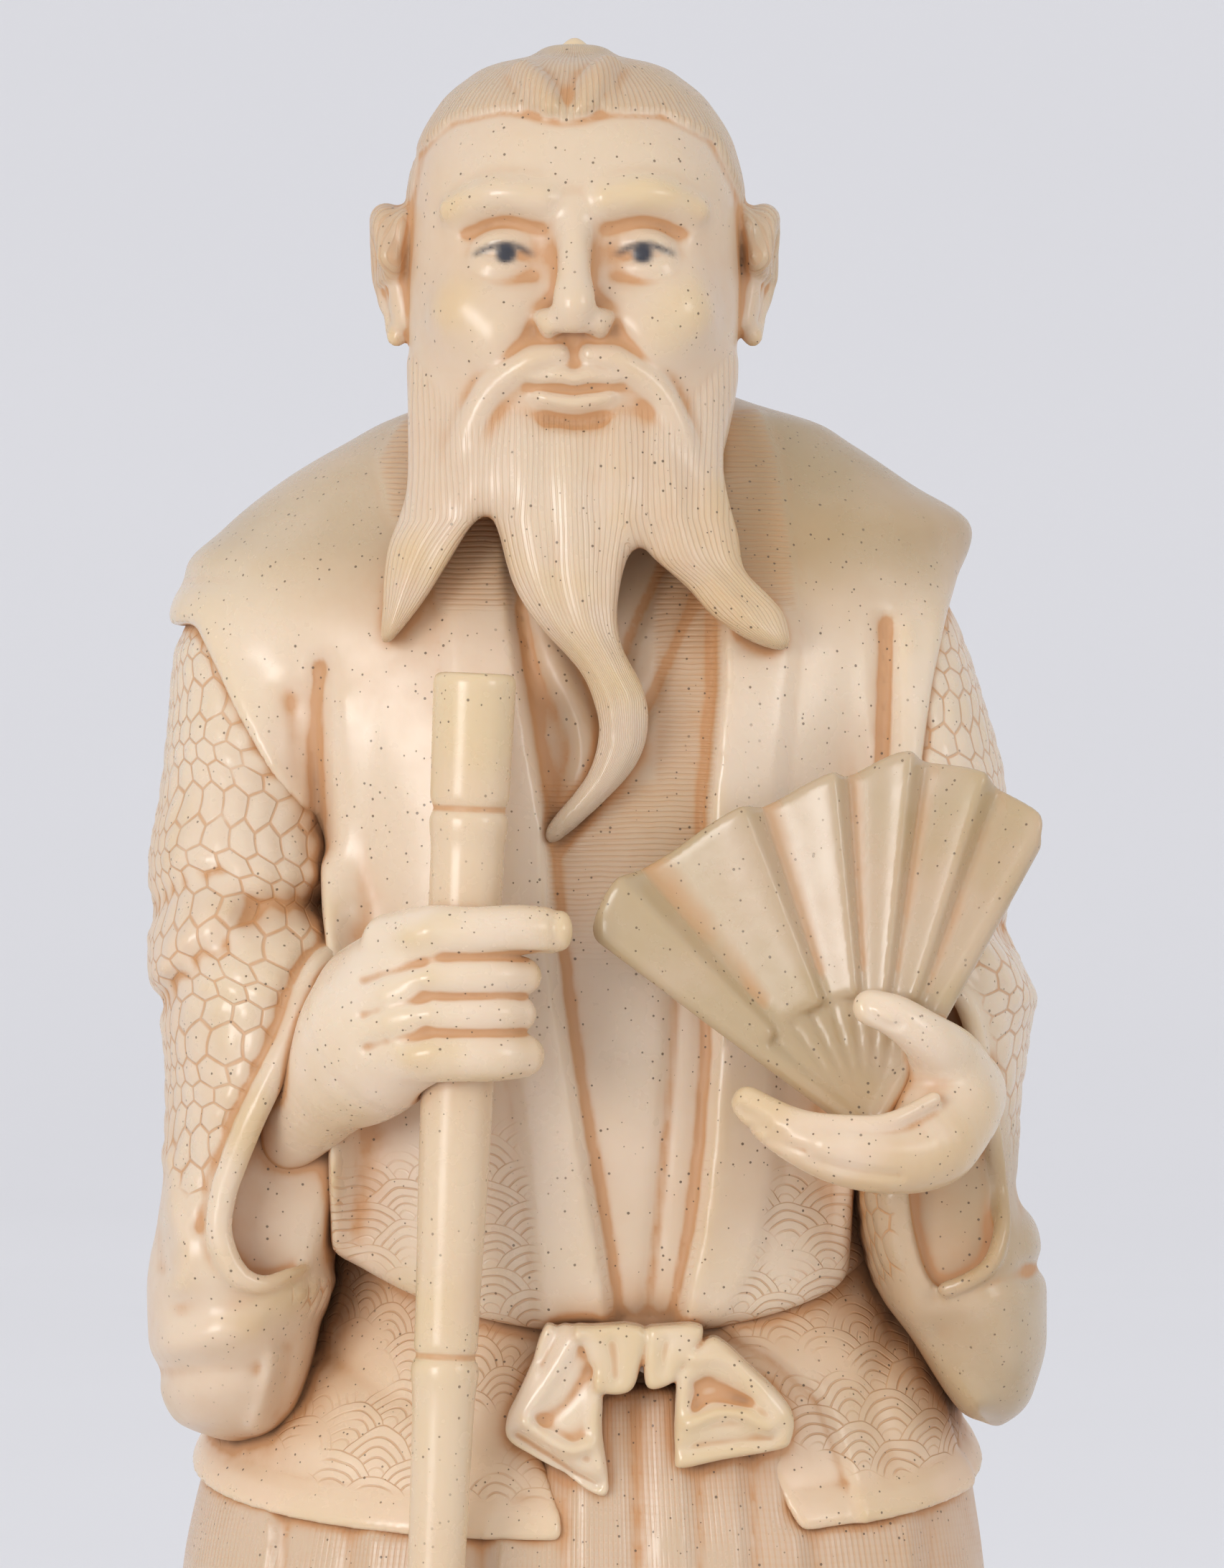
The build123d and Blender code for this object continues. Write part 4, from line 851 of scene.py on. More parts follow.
blank = Blank((-32, -23, 75), (30, 23, 146), 0.385)
blank.form = blank.ovals(torso_levels, torso_square)
shoulders = blank.form
for levels in (right_sleeve_levels, left_sleeve_levels):
    arm = common(blank.ovals(levels, sleeve_square), blank.z - levels[-1][0], 2.5)
    shoulders = join(shoulders, arm, 3.0)
vest_edge = blank.prism(vest_outline)
vest = common(shoulders - vest_thickness, vest_edge, 0.7)
blank.form = join(blank.form, vest, 0.25)
opening = left_edge + right_edge
blank.layer(opening, -1.1, 0.55, front=-3)
blank.layer(left_front, 0.35, 0.35, front=-3)
blank.layer(right_front, 0.35, 0.35, front=-3)
blank.creases(
    (((-18.3, 124.5), (-18.4, 118), (-18.2, 112)), 0.9, 0.6),
    (((-20.0, 122), (-19.6, 117), (-19.2, 113)), 0.6, 1.4),
    (((-16.8, 122), (-16.6, 116), (-16.6, 108)), -0.4, 1.2),
    front=-6,
)
blank.creases(
    (((20.9, 127.4), (20.8, 122), (20.7, 117)), 0.7, 0.6),
    (((22.3, 127.0), (22.2, 121), (22.0, 116)), -0.45, 0.8),
    front=-4,
)
lapel = [(-3.4, 129), (-2.2, 125), (-0.6, 121.5), (0.1, 118.8), (-0.5, 116), (-2.0, 113.4)]
lapel = [(x, front_of(torso_levels, x, z, torso_square) + 0.5, z) for x, z in lapel]
blank.limb(lapel, (1.2, 1.2, 1.2, 1.1, 0.9, 0.6), 0.5)
blank.creases(
    (((8.0, 130), (4.4, 122), (1.2, 116.4), (-1.6, 112.2)), 0.7, 0.4),
    (((5.6, 132), (2.9, 126), (1.9, 121)), 0.6, 0.4),
    (((6.6, 110), (6.2, 100), (5.4, 90), (4.4, 80)), 0.5, 0.45),
    front=-6,
)
robe_foot = 81.2 + blank.y * hem_lean * 0.9 + 0.0115 * (blank.x - 3) ** 2
blank.form = common(blank.form, robe_foot - blank.z, 1.4)
torso, points = carve_out(blank, "robed_torso", "torso", bone("torso_bone", robe_cloth))
mark(torso, "round", np.arctan2(points[:, 0], -points[:, 1]) * 20)
mark(torso, "rise", points[:, 2])
x, z = points[:, 0], points[:, 2]
facing = fade(points[:, 1] + 2, 3)
band = np.minimum(outline_gap(x, z, left_front), outline_gap(x, z, right_front))
neck_v = outline_gap(x, z, opening)
inner_ribs = fade(neck_v, 0.5) * fade(106 - z, 6.0) * np.maximum(fade(4.9 - x, 0.6), fade(z - 116.5, 1.0))
woven = np.maximum(fade(band, 0.5) * fade(128.6 - z, 1.0), inner_ribs)
mark(torso, "woven", woven * facing)
shoulder = fade(127 - z + 0.15 * np.abs(x), 9.0) * (0.65 + 0.4 * fade(9 - x, 8.0))
mark(torso, "tan", np.maximum(shoulder, 0.45 * fade(neck_v, 0.5) * fade(110 - z, 6.0) * facing))
low = fade(z - 94 + 0.3 * np.abs(x), 3.0)
mark(torso, "waves", low * (1 - np.maximum(fade(band, 0.5), fade(neck_v, 0.5)) * facing))

# Right hand: a fist bored for the staff, carved apart and pegged into the cuff.
# The back of the hand faces the front, and the fingers lie across the staff with their tips turned in.
bore_radius = 2.62
blank = Blank((-25, -33.5, 86), (1.5, -11, 110), 0.17)
forearm = ((-21.3, -14.5, 90.5), (-19.6, -17.0, 92.9), (-17.2, -20.4, 95.9), (-14.6, -23.4, 98.6))
blank.limb(forearm, (1.5, 2.6, 3.6, 4.6), 0.5, (1, 0.85, 1))
back_of_hand = ((-14.9, -22.6, 99.2), (-13.2, -25.6, 100.0), (-11.4, -27.6, 100.6))
blank.limb(back_of_hand, (4.4, 4.3, 3.9), 2.0, (1, 0.7, 1.25))
blank.limb(((-15.6, -20.6, 102.6), (-13.0, -25.4, 104.4), (-10.4, -28.4, 105.4)), (2.5, 2.3, 2.0), 1.5)
fingers = (
    # height at the knuckle, height at the tip, thickness, where the tip ends across
    (103.3, 103.3, 1.62, -4.3),
    (100.7, 100.75, 1.56, -4.6),
    (97.9, 97.9, 1.85, -4.3),
)
for knuckle, tip, thick, end in fingers:
    line = ((-13.4, -25.6, knuckle - 0.5), (-11.2, -28.4, knuckle), (-8.6, -29.3, knuckle))
    line += ((-6.2, -29.0, tip), (end, -27.8, tip))
    blank.limb(line, (thick * 1.15, thick * 1.1, thick, thick, thick * 0.88), 0.3, (1, 0.95, 0.94))
index = (
    (-13.2, -26.2, 105.6), (-10.4, -28.6, 106.2), (-7.6, -29.4, 106.3), (-4.6, -29.0, 106.5),
    (-2.2, -28.2, 106.4),
)
blank.limb(index, (2.0, 1.95, 1.75, 1.7, 1.6), 0.4)
blank.cut((blank.x + 0.8 + 0.25 * (blank.y + 28)) * -1.0, 0.5)
for height, lean in ((104.75, 0.0), (102.05, 0.02), (99.45, 0.03)):
    line = ((-11.6, -30.4, height - 0.5), (-9.2, -30.8, height))
    line += ((-6.4, -30.7, height + lean), (-2.6, -28.6, height + lean))
    blank.gouge(line, (0.1, 0.22, 0.3, 0.4), 0.3)
for x, z in ((-13.4, 103.9), (-13.4, 101.6), (-13.2, 99.4)):
    blank.crease(((x - 1.6, z - 0.9), (x, z - 0.4), (x + 2.4, z + 0.2)), 0.3, 0.5, front=-20)
for x, z in ((-11.4, 106.3), (-11.4, 103.1), (-11.2, 100.7), (-11.0, 98.2)):
    blank.crease(((x - 0.5, z - 0.2), (x + 0.5, z + 0.1)), -0.3, 0.9, front=-20)
blank.crease(((-1.9, 108.0), (-2.0, 106.6), (-1.8, 105.2)), 0.2, 0.3, front=-20)
blank.cut(from_staff(blank)[0] - bore_radius, 0.12)
carve_out(blank, "staff_hand", "right_hand", bone("right_hand_bone"))

# Left hand: cupped under the fan, carved apart and pegged into its cuff.
# The fingers curl up in front of the fan's sticks, and the thumb lies over the leaf.
blank = Blank((7, -33, 85), (30.5, -12, 106), 0.17)
blank.limb(((25.6, -14, 95.0), (25.4, -20, 95.0), (24.6, -24, 94.4)), (3.4, 3.6, 3.6), 0.5)
cupped = (
    (24.6, -23.0, 94.0), (23.6, -26.4, 92.0), (20.6, -28.8, 91.0), (17.0, -29.4, 91.4),
    (13.6, -28.8, 92.9), (11.2, -27.8, 94.6),
)
blank.limb(cupped, (3.6, 3.2, 2.5, 2.1, 1.7, 1.2), 1.0, (1, 1.1, 1))
blank.limb(((24.6, -27.0, 91.4), (20.4, -30.6, 91.6), (16.4, -30.9, 92.0)), (1.2, 0.9, 0.7), 1.0)
lip = (
    (11.0, -28.4, 95.2), (14.2, -29.9, 93.8), (17.4, -30.6, 93.4), (20.6, -30.6, 93.5),
    (23.8, -29.0, 95.0),
)
blank.limb(lip, (0.4, 0.55, 0.6, 0.6, 0.5), 0.7)
thumb = (
    (24.6, -22.5, 97.0), (24.3, -25.6, 98.0), (23.2, -27.6, 99.2), (21.2, -28.6, 100.6),
    (19.5, -28.7, 101.2),
)
blank.limb(thumb, (3.0, 2.3, 1.75, 1.45, 1.25), 1.2)
blank.creases(
    (((10.6, 94.3), (12.3, 93.4)), 0.3, 0.3),
    (((11.4, 93.2), (13.4, 92.6)), 0.3, 0.3),
    (((12.6, 92.3), (15.0, 91.5)), 0.3, 0.3),
    (((15.4, 91.0), (18.4, 90.2), (21.4, 89.8)), 0.22, 0.35),
    front=-24,
)
nail = np.sqrt(((blank.x - 20.4) / 1.15) ** 2 + ((blank.z - 100.75 - 0.5 * (20.4 - blank.x)) / 0.6) ** 2)
on_front = fade(blank.y + 28.2, 1.0)
blank.sink(0.25 * bell(nail - 1, 0.22) * on_front)
carve_out(blank, "fan_hand", "left_hand", bone("left_hand_bone"))

# Fan: an open folding fan, its pleats and sticks cut from one thin plate that the left hand holds.
# The leaf is of tanned bone, bright at the ridges, and its folds keep a brown stain.
pivot = np.array((19.6, -26.2, 92.4))
lean = radians(7)
fan_from, fan_to = 60.0, 144.0
ridges = (60, 72.5, 84.0, 95.8, 111, 135, 158)
rim_turns = (58, 63, 73, 83.5, 95, 110, 122, 134, 145)
rim_reach = (23.4, 25.0, 26.0, 26.4, 25.0, 24.1, 24.0, 24.6, 23.8)
leaf_from, leaf_half = 9.4, 0.55
fold_height, fold_round, valley_place = 0.75, 1.35, 0.78


def fold_stain(tree):
    """Brown stain run down into the folds of the leaf."""
    valley = (marked(tree, "fold") * -1.0).ramp(0.55, 1.0)
    line = valley * patches(tree, 260, 3, (1, 1, 0.4)).ramp(0.3, 0.6)
    return line * 0.75, line * -0.03


fan_bone = bone("fan_bone", fold_stain, Pale=(0.54, 0.405, 0.27), Rubbed=(0.48, 0.355, 0.205))
blank = Blank((-3, -30.5, 89), (34, -19.5, 121), 0.2)
across = blank.x - pivot[0]
upward = (blank.y - pivot[1]) * sin(lean) + (blank.z - pivot[2]) * cos(lean)
toward = (blank.z - pivot[2]) * sin(lean) - (blank.y - pivot[1]) * cos(lean)
reach = np.sqrt(across**2 + upward**2)
turn = np.degrees(np.arctan2(upward, across))
pleat = np.interp(turn, ridges, range(len(ridges)))
past = pleat % 1
tooth = np.where(past < valley_place, past / valley_place, (1 - past) / (1 - valley_place))
tooth = 1 - 2 * tooth
tooth = np.sin(tooth * fold_round) / np.sin(fold_round)
fold = fold_height * tooth * np.clip(reach / 24, 0, 1) * np.where(pleat > 4, 1.3, 1.0)
half_span = radians((fan_to - fan_from) / 2)
aside = (np.abs(np.radians(turn - (fan_from + fan_to) / 2)) - half_span) * reach
leaf_to = ease(rim_turns, rim_reach, turn) + 0.22 * tooth
leaf = common(np.abs(toward - fold) - leaf_half, np.maximum(reach - leaf_to, leaf_from - reach), 0.8)
blank.add(common(leaf, aside, 1.2))
sticks = 9
stick = (turn - fan_from) / (fan_to - fan_from) * sticks
slot = np.abs(stick % 1 - 0.5) * radians((fan_to - fan_from) / sticks) * reach
blades = common(np.abs(toward + 0.25) - 0.4, np.maximum(reach - leaf_from - 1, 0.2 - reach), 0.3)
blades = common(blades, slot - np.clip(reach * 0.07, 0.3, 2), 0.2)
blank.add(common(blades, aside + 0.1, 0.3))
for guard in (fan_from + 1.5, fan_to - 1.5):
    turned = radians(guard)
    out = np.array((cos(turned), sin(turned) * sin(lean), sin(turned) * cos(lean)))
    blank.limb([pivot + out * r for r in (1.5, 12, 22.8)], (0.6, 0.75, 0.8), 0.6)
fan, points = carve_out(blank, "open_fan", "fan", fan_bone)
spot = (points - blank.low) / blank.pitch
mark(fan, "fold", sampled(tooth * fade(leaf_from + 1.5 - reach, 2.0), spot))

# Sash bow: the ends of the sash tied in front, two loops and a knot in one small carving on a peg.
# The loops are cut with a fine gouge, and their folds and the place under the knot carry brown stain with
# painted shade.
blank = Blank((-7, -25.5, 65.5), (16.5, -15, 81), 0.17)
left_loop = (
    (-2.6, 79.4), (-0.7, 79.0), (0.8, 76.4), (1.2, 74.5), (1.2, 71.5), (1.7, 67.9), (0.7, 67.6),
    (-1.5, 69.0), (-3.85, 70.4), (-5.3, 71.4), (-5.3, 72.8), (-4.5, 74.6), (-3.6, 76.7), (-3.1, 78.4),
)
right_loop = (
    (6.4, 76.2), (8.0, 78.0), (9.2, 78.4), (11.1, 76.6), (13.0, 74.9), (14.3, 73.1), (14.2, 71.4),
    (13.4, 70.7), (9.4, 70.0), (6.5, 69.4), (6.2, 70.2), (6.2, 72.9), (6.3, 75.0),
)
left_lobe = ((-0.5, 79.2), (4.0, 79.2), (3.8, 76.4), (3.1, 74.7), (1.1, 74.7), (0.4, 76.4))
right_lobe = ((4.3, 79.2), (8.2, 79.2), (6.8, 76.6), (6.0, 75.3), (4.4, 74.9), (4.1, 76.4))
for corners, front, back in (
    (left_loop, -21.8, -16.5),
    (right_loop, -22.2, -16.5),
    (left_lobe, -22.4, -16.0),
    (right_lobe, -22.4, -16.0),
):
    slab = np.abs(blank.y - (front + back) / 2 - 0.1 * (75 - blank.z)) - (back - front) / 2
    blank.add(common(blank.prism(corners, 3), slab, 0.8), 0.15)
loop_hollow = ((7.4, 75.4), (8.8, 75.8), (11.4, 74.2), (10.6, 73.7), (8.8, 73.9), (7.4, 73.4))
blank.layer(loop_hollow, -0.75, 0.9, 3, -17)
blank.creases(
    (((-3.9, 72.5), (-2.4, 71.4), (-0.9, 70.7), (0.2, 71.0)), -0.7, 0.5),
    (((-4.7, 71.7), (-2.6, 70.4), (-0.6, 69.1), (0.9, 68.3)), 0.5, 0.35),
    (((-0.6, 78.6), (-2.4, 75.6), (-4.3, 72.9)), -0.5, 0.6),
    (((-1.9, 79.0), (-3.0, 76.6)), 0.3, 0.35),
    (((0.9, 75.5), (0.6, 72.5), (1.0, 69.5)), -0.3, 0.4),
    (((0.1, 76.0), (-1.2, 74.0), (-2.8, 72.6)), 0.28, 0.5),
    (((7.2, 72.5), (9.0, 73.2), (10.6, 73.3), (12.6, 72.3)), -0.5, 0.5),
    (((7.6, 77.0), (9.6, 77.0), (11.6, 75.2), (13.4, 73.0)), -0.4, 0.6),
    (((7.0, 70.8), (9.6, 71.2), (12.8, 71.5)), 0.3, 0.5),
    (((1.9, 78.2), (2.2, 75.6)), 0.25, 0.5),
    (((5.6, 78.2), (5.3, 76.0)), 0.25, 0.45),
    front=-17,
)
carve_out(blank, "bow", "sash_bow", bone("bow_bone"))

# Head: an old man's head of a plain design of its own, with combed hair and a long forked beard.
# Ears and beard are in one block with it; the neck stands in the collar on a peg. The eyes are inked.
middle, knot_y = -0.7, -6.0
skull_levels = (
    (137.5, -9.4, 7.6, -19.0, -9.0),
    (140, -11.4, 9.6, -19.6, -5.0),
    (143, -12.0, 10.3, -19.8, -2.0),
    (147, -12.2, 10.6, -19.8, 1.0),
    (152, -12.2, 10.8, -19.7, 3.4),
    (157, -12.0, 10.7, -19.6, 4.6),
    (160.5, -11.3, 10.0, -19.0, 4.6),
    (163.6, -9.6, 8.2, -17.0, 3.6),
    (165.8, -6.8, 5.4, -13.8, 1.4),
    (167.2, -3.4, 2.0, -10.0, -2.0),
)


def combed(tree):
    """Fine combed lines in hair and beard."""
    stir = patches(tree, 300) * 3.0
    strands = ((marked(tree, "comb") * 2.0 + stir).wave()).ramp(0.0, 1.0) * marked(tree, "beard")
    place = tree.nodes.new("ShaderNodeTexCoord")
    axes = tree.nodes.new("ShaderNodeSeparateXYZ")
    tree.links.new(place.outputs["Object"], axes.inputs[0])
    aside = Wire(tree, axes.outputs[0]) - middle * MILLIMETRE
    behind = knot_y * MILLIMETRE - Wire(tree, axes.outputs[1])
    turn = aside.math("ARCTAN2", aside, behind)
    combed_back = ((turn * 168.0 + stir).wave()).ramp(0.0, 1.0) * marked(tree, "hair")
    line = strands.most(combed_back)
    return strands * 0.22 + combed_back * 0.35, line * -0.05


head_bone = bone("head_bone", combed, inked=True, Pale=(0.69, 0.545, 0.40))
blank = Blank((-16, -24.5, 110.5), (16.5, 7.5, 169), 0.238)
blank.form = blank.ovals(skull_levels, 2.35)
blank.form = common(blank.form, np.abs(blank.z - 152.4) - 15.0, 2.0)
blank.limb(((middle, 1.0, 138), (middle, -3, 146), (middle, -5, 152)), (6.0, 6.2, 7.0), 2.0)

# The beard is flat in front, thins towards its edges and parts into three locks.
beard_outline = (
    (-12.3, 146), (-12.2, 138), (-12.6, 135.4), (-13.6, 132.5), (-13.9, 128.7), (-13.8, 125.9),
    (-11.3, 128.7), (-9.3, 131.8), (-7.6, 134.4), (-6.2, 134.5), (-5.0, 130.4), (-3.3, 127.5),
    (-0.4, 124.3), (0.7, 121.9), (1.0, 119.7), (0.1, 116.8), (-2.6, 113.4), (-1.9, 112.4),
    (2.25, 116.1), (3.95, 118.5), (4.4, 121.0), (3.9, 123.3), (2.6, 125.8), (2.25, 128.5), (2.9, 131.8),
    (3.9, 132.7), (4.9, 131.8), (7.1, 129.9), (8.8, 128.0), (11.5, 126.2), (14.0, 125.7), (13.8, 128.0),
    (12.5, 129.6), (11.0, 131.2), (10.6, 133.6), (9.9, 136.2), (9.6, 139.4), (10.6, 146), (6.4, 143.6),
    (2.6, 142.2), (middle, 141.2), (-4.0, 142.2), (-8.0, 143.6),
)
locks = (
    ((126, -13.9, -13.5), (128, -13.9, -11.9), (130, -13.9, -10.5), (132.5, -13.6, -8.9),
     (134.6, -12.8, -7.2)),
    ((113, -2.6, -1.6), (116.8, 0.1, 2.9), (119.7, 1.0, 4.2), (121.9, 0.7, 4.2), (124.3, -0.4, 3.2),
     (127.5, -3.3, 2.3), (130.4, -5.0, 2.6), (134.6, -6.2, 3.2)),
    ((125.8, 12.5, 14.2), (128, 8.8, 13.9), (130, 7.0, 12.2), (132, 4.7, 10.9), (134.6, 3.9, 10.3)),
)


def strand_of(x, z):
    """Which strand of the beard a place is on, counted across where the locks part."""
    strand = x + 0 * z
    for rows in locks:
        table = np.array(rows, "f4")
        left, right = (ease(table[:, 0], table[:, i], z) for i in (1, 2))
        share = (x - left) / (right - left)
        within = (z < table[-1, 0]) & (share > -0.2) & (share < 1.2)
        strand = np.where(within, table[-1, 1] + share * (table[-1, 2] - table[-1, 1]), strand)
    return strand


def mirrored(side, places):
    """Places of one half of the head, put on the given side of its middle."""
    return [(middle + side * out, *rest) for out, *rest in places]


edge = blank.outline(beard_outline, 3)
drops = (112, 116, 120, 124, 130, 136, 141, 147)
fronts = ease(drops, (-20.9, -21.8, -22.1, -22.2, -21.9, -21.5, -20.7, -20.0), blank.z)
falls = ease(drops, (0.01, 0.01, 0.01, 0.01, 0.016, 0.026, 0.035, 0.05), blank.z)
strand = strand_of(blank.x, blank.z)
wander = 0.5 * np.sin(0.33 * blank.z + 0.9 * strand) + 0.3 * np.sin(0.71 * blank.z - 1.7 * strand)
comb_turn = 2 * pi * strand / 0.8 + 1.6 * wander
front = fronts + falls * (blank.x - middle) ** 2 + 1.1 * np.exp(edge / 1.1)
worn = 0.5 + 0.5 * np.sin(0.9 * strand + 0.41 * blank.z) * np.sin(0.37 * strand - 0.6 * blank.z)
front = front + 0.075 * worn * np.cos(comb_turn) + 0.13 * np.cos(comb_turn / 4.3 + 1 + 0.12 * blank.z)
depth = 3.2 + 3.0 * fade(136.5 - blank.z, 4)
slab = np.maximum(front - blank.y, blank.y - front - depth)
beard = common(np.broadcast_to(edge, blank.form.shape), slab, 0.7)
blank.add(beard.astype("f4"), 0.5)

# The face is calm, on even proportions, with the mouth closed between the ends of the moustache.
muzzle = ((middle - 3.2, -16.9, 144.4), (middle, -17.9, 144.6), (middle + 3.2, -16.9, 144.4))
blank.limb(muzzle, (2.4, 2.4, 2.4), 1.6)
eye_opening = (
    (-2.0, -0.25), (-1.0, 0.45), (0.2, 0.7), (1.3, 0.4), (2.2, -0.15), (1.2, -0.6), (0.0, -0.75),
    (-1.1, -0.6),
)
eye_height, eye_out, ball_radius, ear_out = 152.9, 4.7, 2.1, 11.9
ink = np.zeros(blank.form.shape, "f4")
for side in (-1, 1):
    eye = middle + side * eye_out
    socket = mirrored(side, ((eye_out + 1.7, -20.0, 153.1), (eye_out - 1.5, -20.7, 153.1)))
    blank.gouge(socket, (2.0, 1.9), 1.8)
    ball = np.sqrt((blank.x - eye) ** 2 + (blank.y + 16.8) ** 2 + (blank.z - eye_height) ** 2)
    opening = blank.prism([(eye + side * x, eye_height + z) for x, z in eye_opening], 3)
    blank.add(ball - ball_radius, 0.15)
    blank.add(common(ball - ball_radius - 0.42, -opening, 0.15), 0.3)
    lid_line = bell(opening + 0.05, 0.2) * fade(eye_height - 0.1 - blank.z, 0.4)
    from_pupil = np.sqrt((blank.x - eye) ** 2 + (blank.z - eye_height) ** 2)
    iris = fade(from_pupil - 0.72, 0.3) * fade(opening, 0.2)
    ink = np.maximum(ink, np.maximum(lid_line, iris) * fade(blank.y + 17, 0.5))
    brow = mirrored(side, ((8.6, -16.9, 156.0), (5.4, -19.0, 157.0), (2.2, -19.6, 156.7)))
    blank.limb(brow, (0.6, 0.85, 0.6), 1.6)
    lid_fold = ((eye_out - 2.4, 154.6), (eye_out, 155.1), (eye_out + 2.8, 154.3))
    blank.crease(mirrored(side, lid_fold), 0.3, 0.4, front=-14)
    eye_bag = ((eye_out - 1.9, 151.2), (eye_out + 0.4, 150.7), (eye_out + 2.6, 151.3))
    blank.crease(mirrored(side, eye_bag), 0.22, 0.5, front=-14)
    cheek = mirrored(side, ((6.8, -16.9, 148.9), (5.4, -17.5, 147.6)))
    blank.limb(cheek, (2.6, 2.4), 2.6)
    wing = mirrored(side, ((1.8, -20.3, 148.1), (1.6, -20.7, 148.0)))
    blank.limb(wing, (1.0, 0.95), 0.6)
    nostril = mirrored(side, ((0.9, -21.8, 146.95), (1.2, -21.0, 147.3)))
    blank.gouge(nostril, (0.3, 0.35), 0.3)
    cheek_line = mirrored(side, ((2.9, 147.6), (4.2, 146.0), (4.9, 144.4)))
    blank.crease(cheek_line, 0.35, 0.6, front=-14)
    whisker = ((0.9, -20.3, 146.0), (3.1, -20.0, 145.4), (5.7, -18.9, 143.4))
    whisker += ((7.3, -18.4, 140.4), (8.2, -18.0, 137.6))
    blank.limb(mirrored(side, whisker), (0.5, 0.85, 1.0, 0.9, 0.5), 0.7)
    shell = ((ear_out, -7.6, 155.0), (ear_out + 0.3, -6.8, 152.0), (ear_out, -8.0, 148.6))
    blank.limb(mirrored(side, shell), (1.2, 1.5, 1.0), 0.4, (0.8, 1.7, 1))
    fold = ((0.9, -9.6, 153.0), (1.2, -8.4, 155.5), (1.3, -5.8, 155.3))
    fold += ((1.2, -5.0, 152.0), (0.8, -6.6, 148.6), (0.5, -8.4, 147.5))
    fold = mirrored(side, [(ear_out + x, y, z) for x, y, z in fold])
    blank.limb(fold, (0.5, 0.6, 0.65, 0.6, 0.6, 0.7), 0.3)
    ear_hollow = mirrored(side, ((ear_out + 1.9, -7.6, 153.4), (ear_out + 1.7, -7.6, 150.6)))
    blank.gouge(ear_hollow, (0.9, 0.8), 0.5)
nose = ((middle, -19.0, 155.8), (middle, -20.4, 152.0), (middle, -21.4, 149.6), (middle, -21.4, 148.5))
blank.limb(nose, (0.9, 1.1, 1.45, 1.2), 0.9)
for line, deep, wide in (
    (((-2.9, 143.95), (-1.0, 144.5), (0, 144.3), (1.0, 144.5), (2.9, 143.95)), -0.42, 0.42),
    (((-2.3, 142.95), (0, 142.5), (2.3, 142.95)), -0.5, 0.5),
    (((-3.1, 143.75), (-1.0, 143.55), (0, 143.45), (1.0, 143.55), (3.1, 143.75)), 0.55, 0.24),
    (((-1.8, 141.4), (0, 141.2), (1.8, 141.4)), 0.4, 0.6),
    (((0, 146.4), (0, 145.2)), 0.25, 0.45),
):
    blank.crease(mirrored(1, line), deep, wide, front=-14)

# The hair is combed back from a raised edge to the knot, with two small locks parted in the middle.
hair_front = (
    (-16, 150), (-12.6, 152), (-12.2, 157), (-11.6, 160.4), (-9.2, 162.4), (-5.8, 163.0), (-3.4, 162.8),
    (-1.2, 162.1), (0.8, 162.8), (5.4, 162.8), (9.0, 161.0), (10.8, 157.4), (11.4, 152), (16, 150),
    (16, 172), (-16, 172),
)
hair = fade(blank.prism(hair_front), 0.5)
hair = np.maximum(hair, fade(-blank.y - 5.5, 1.5) * fade(144 - blank.z, 2.0))
from_knot = np.sqrt((blank.x - middle) ** 2 + (blank.y - knot_y) ** 2)
comb = np.arctan2(blank.x - middle, knot_y - blank.y) * 84
blank.sink(-0.5 * hair)
blank.limb(((-4.2, -14.2, 165.6), (-3.4, -16.4, 164.5), (-2.4, -18.0, 163.2)), (0.9, 1.1, 0.8), 0.7)
blank.limb(((1.6, -13.8, 166.0), (0.8, -16.4, 164.8), (-0.1, -18.1, 163.2)), (0.9, 1.1, 0.7), 0.7)
blank.gouge(((-1.2, -16.6, 165.6), (-1.1, -18.2, 164.2), (-1.0, -19.1, 162.8)), (0.3, 0.5, 0.4), 0.5)
comb = comb + 2.0 * np.sin(0.6 * blank.z) + 2.2 * np.sin(comb / 6.3 + 0.5 * blank.z)
relief = 0.06 * np.sin(comb) * fade(4.0 - from_knot, 4.0)
blank.sink(relief * hair)
head, points = carve_out(blank, "elder_head", "head", head_bone)
spot = (points - blank.low) / blank.pitch
in_beard = fade(beard - 0.35, 0.5)
mark(head, "comb", sampled(np.broadcast_to(comb_turn, blank.form.shape), spot))
mark(head, "hair", sampled(hair, spot))
mark(head, "beard", sampled(in_beard, spot))
mark(head, "ink", sampled(ink, spot))
mark(head, "tan", sampled(hair, spot) * 0.42)

# Topknot: a tiny tied knob of hair, turned and grooved by itself and yellower than the head.
# Its pin is glued in a hole in the crown.
blank = Blank((-4, -9.5, 164.5), (3, -3, 171), 0.12)
blank.limb(((middle, knot_y, 165.6), (middle, knot_y, 166.8)), (1.2, 1.35), 0.2)
blank.limb(((middle, knot_y, 167.3), (middle, knot_y + 0.1, 167.7)), (1.1, 0.8), 0.3)
tie_radius, tie_height = 1.45, 167.0
turns = np.linspace(0, 2 * pi, 9)
tie = [(middle + tie_radius * cos(t), knot_y + tie_radius * sin(t), tie_height) for t in turns]
blank.gouge(tie, [0.25] * len(tie), 0.15)
topknot_bone = bone("topknot_bone", Pale=(0.78, 0.59, 0.38))
carve_out(blank, "tied_topknot", "topknot", topknot_bone)

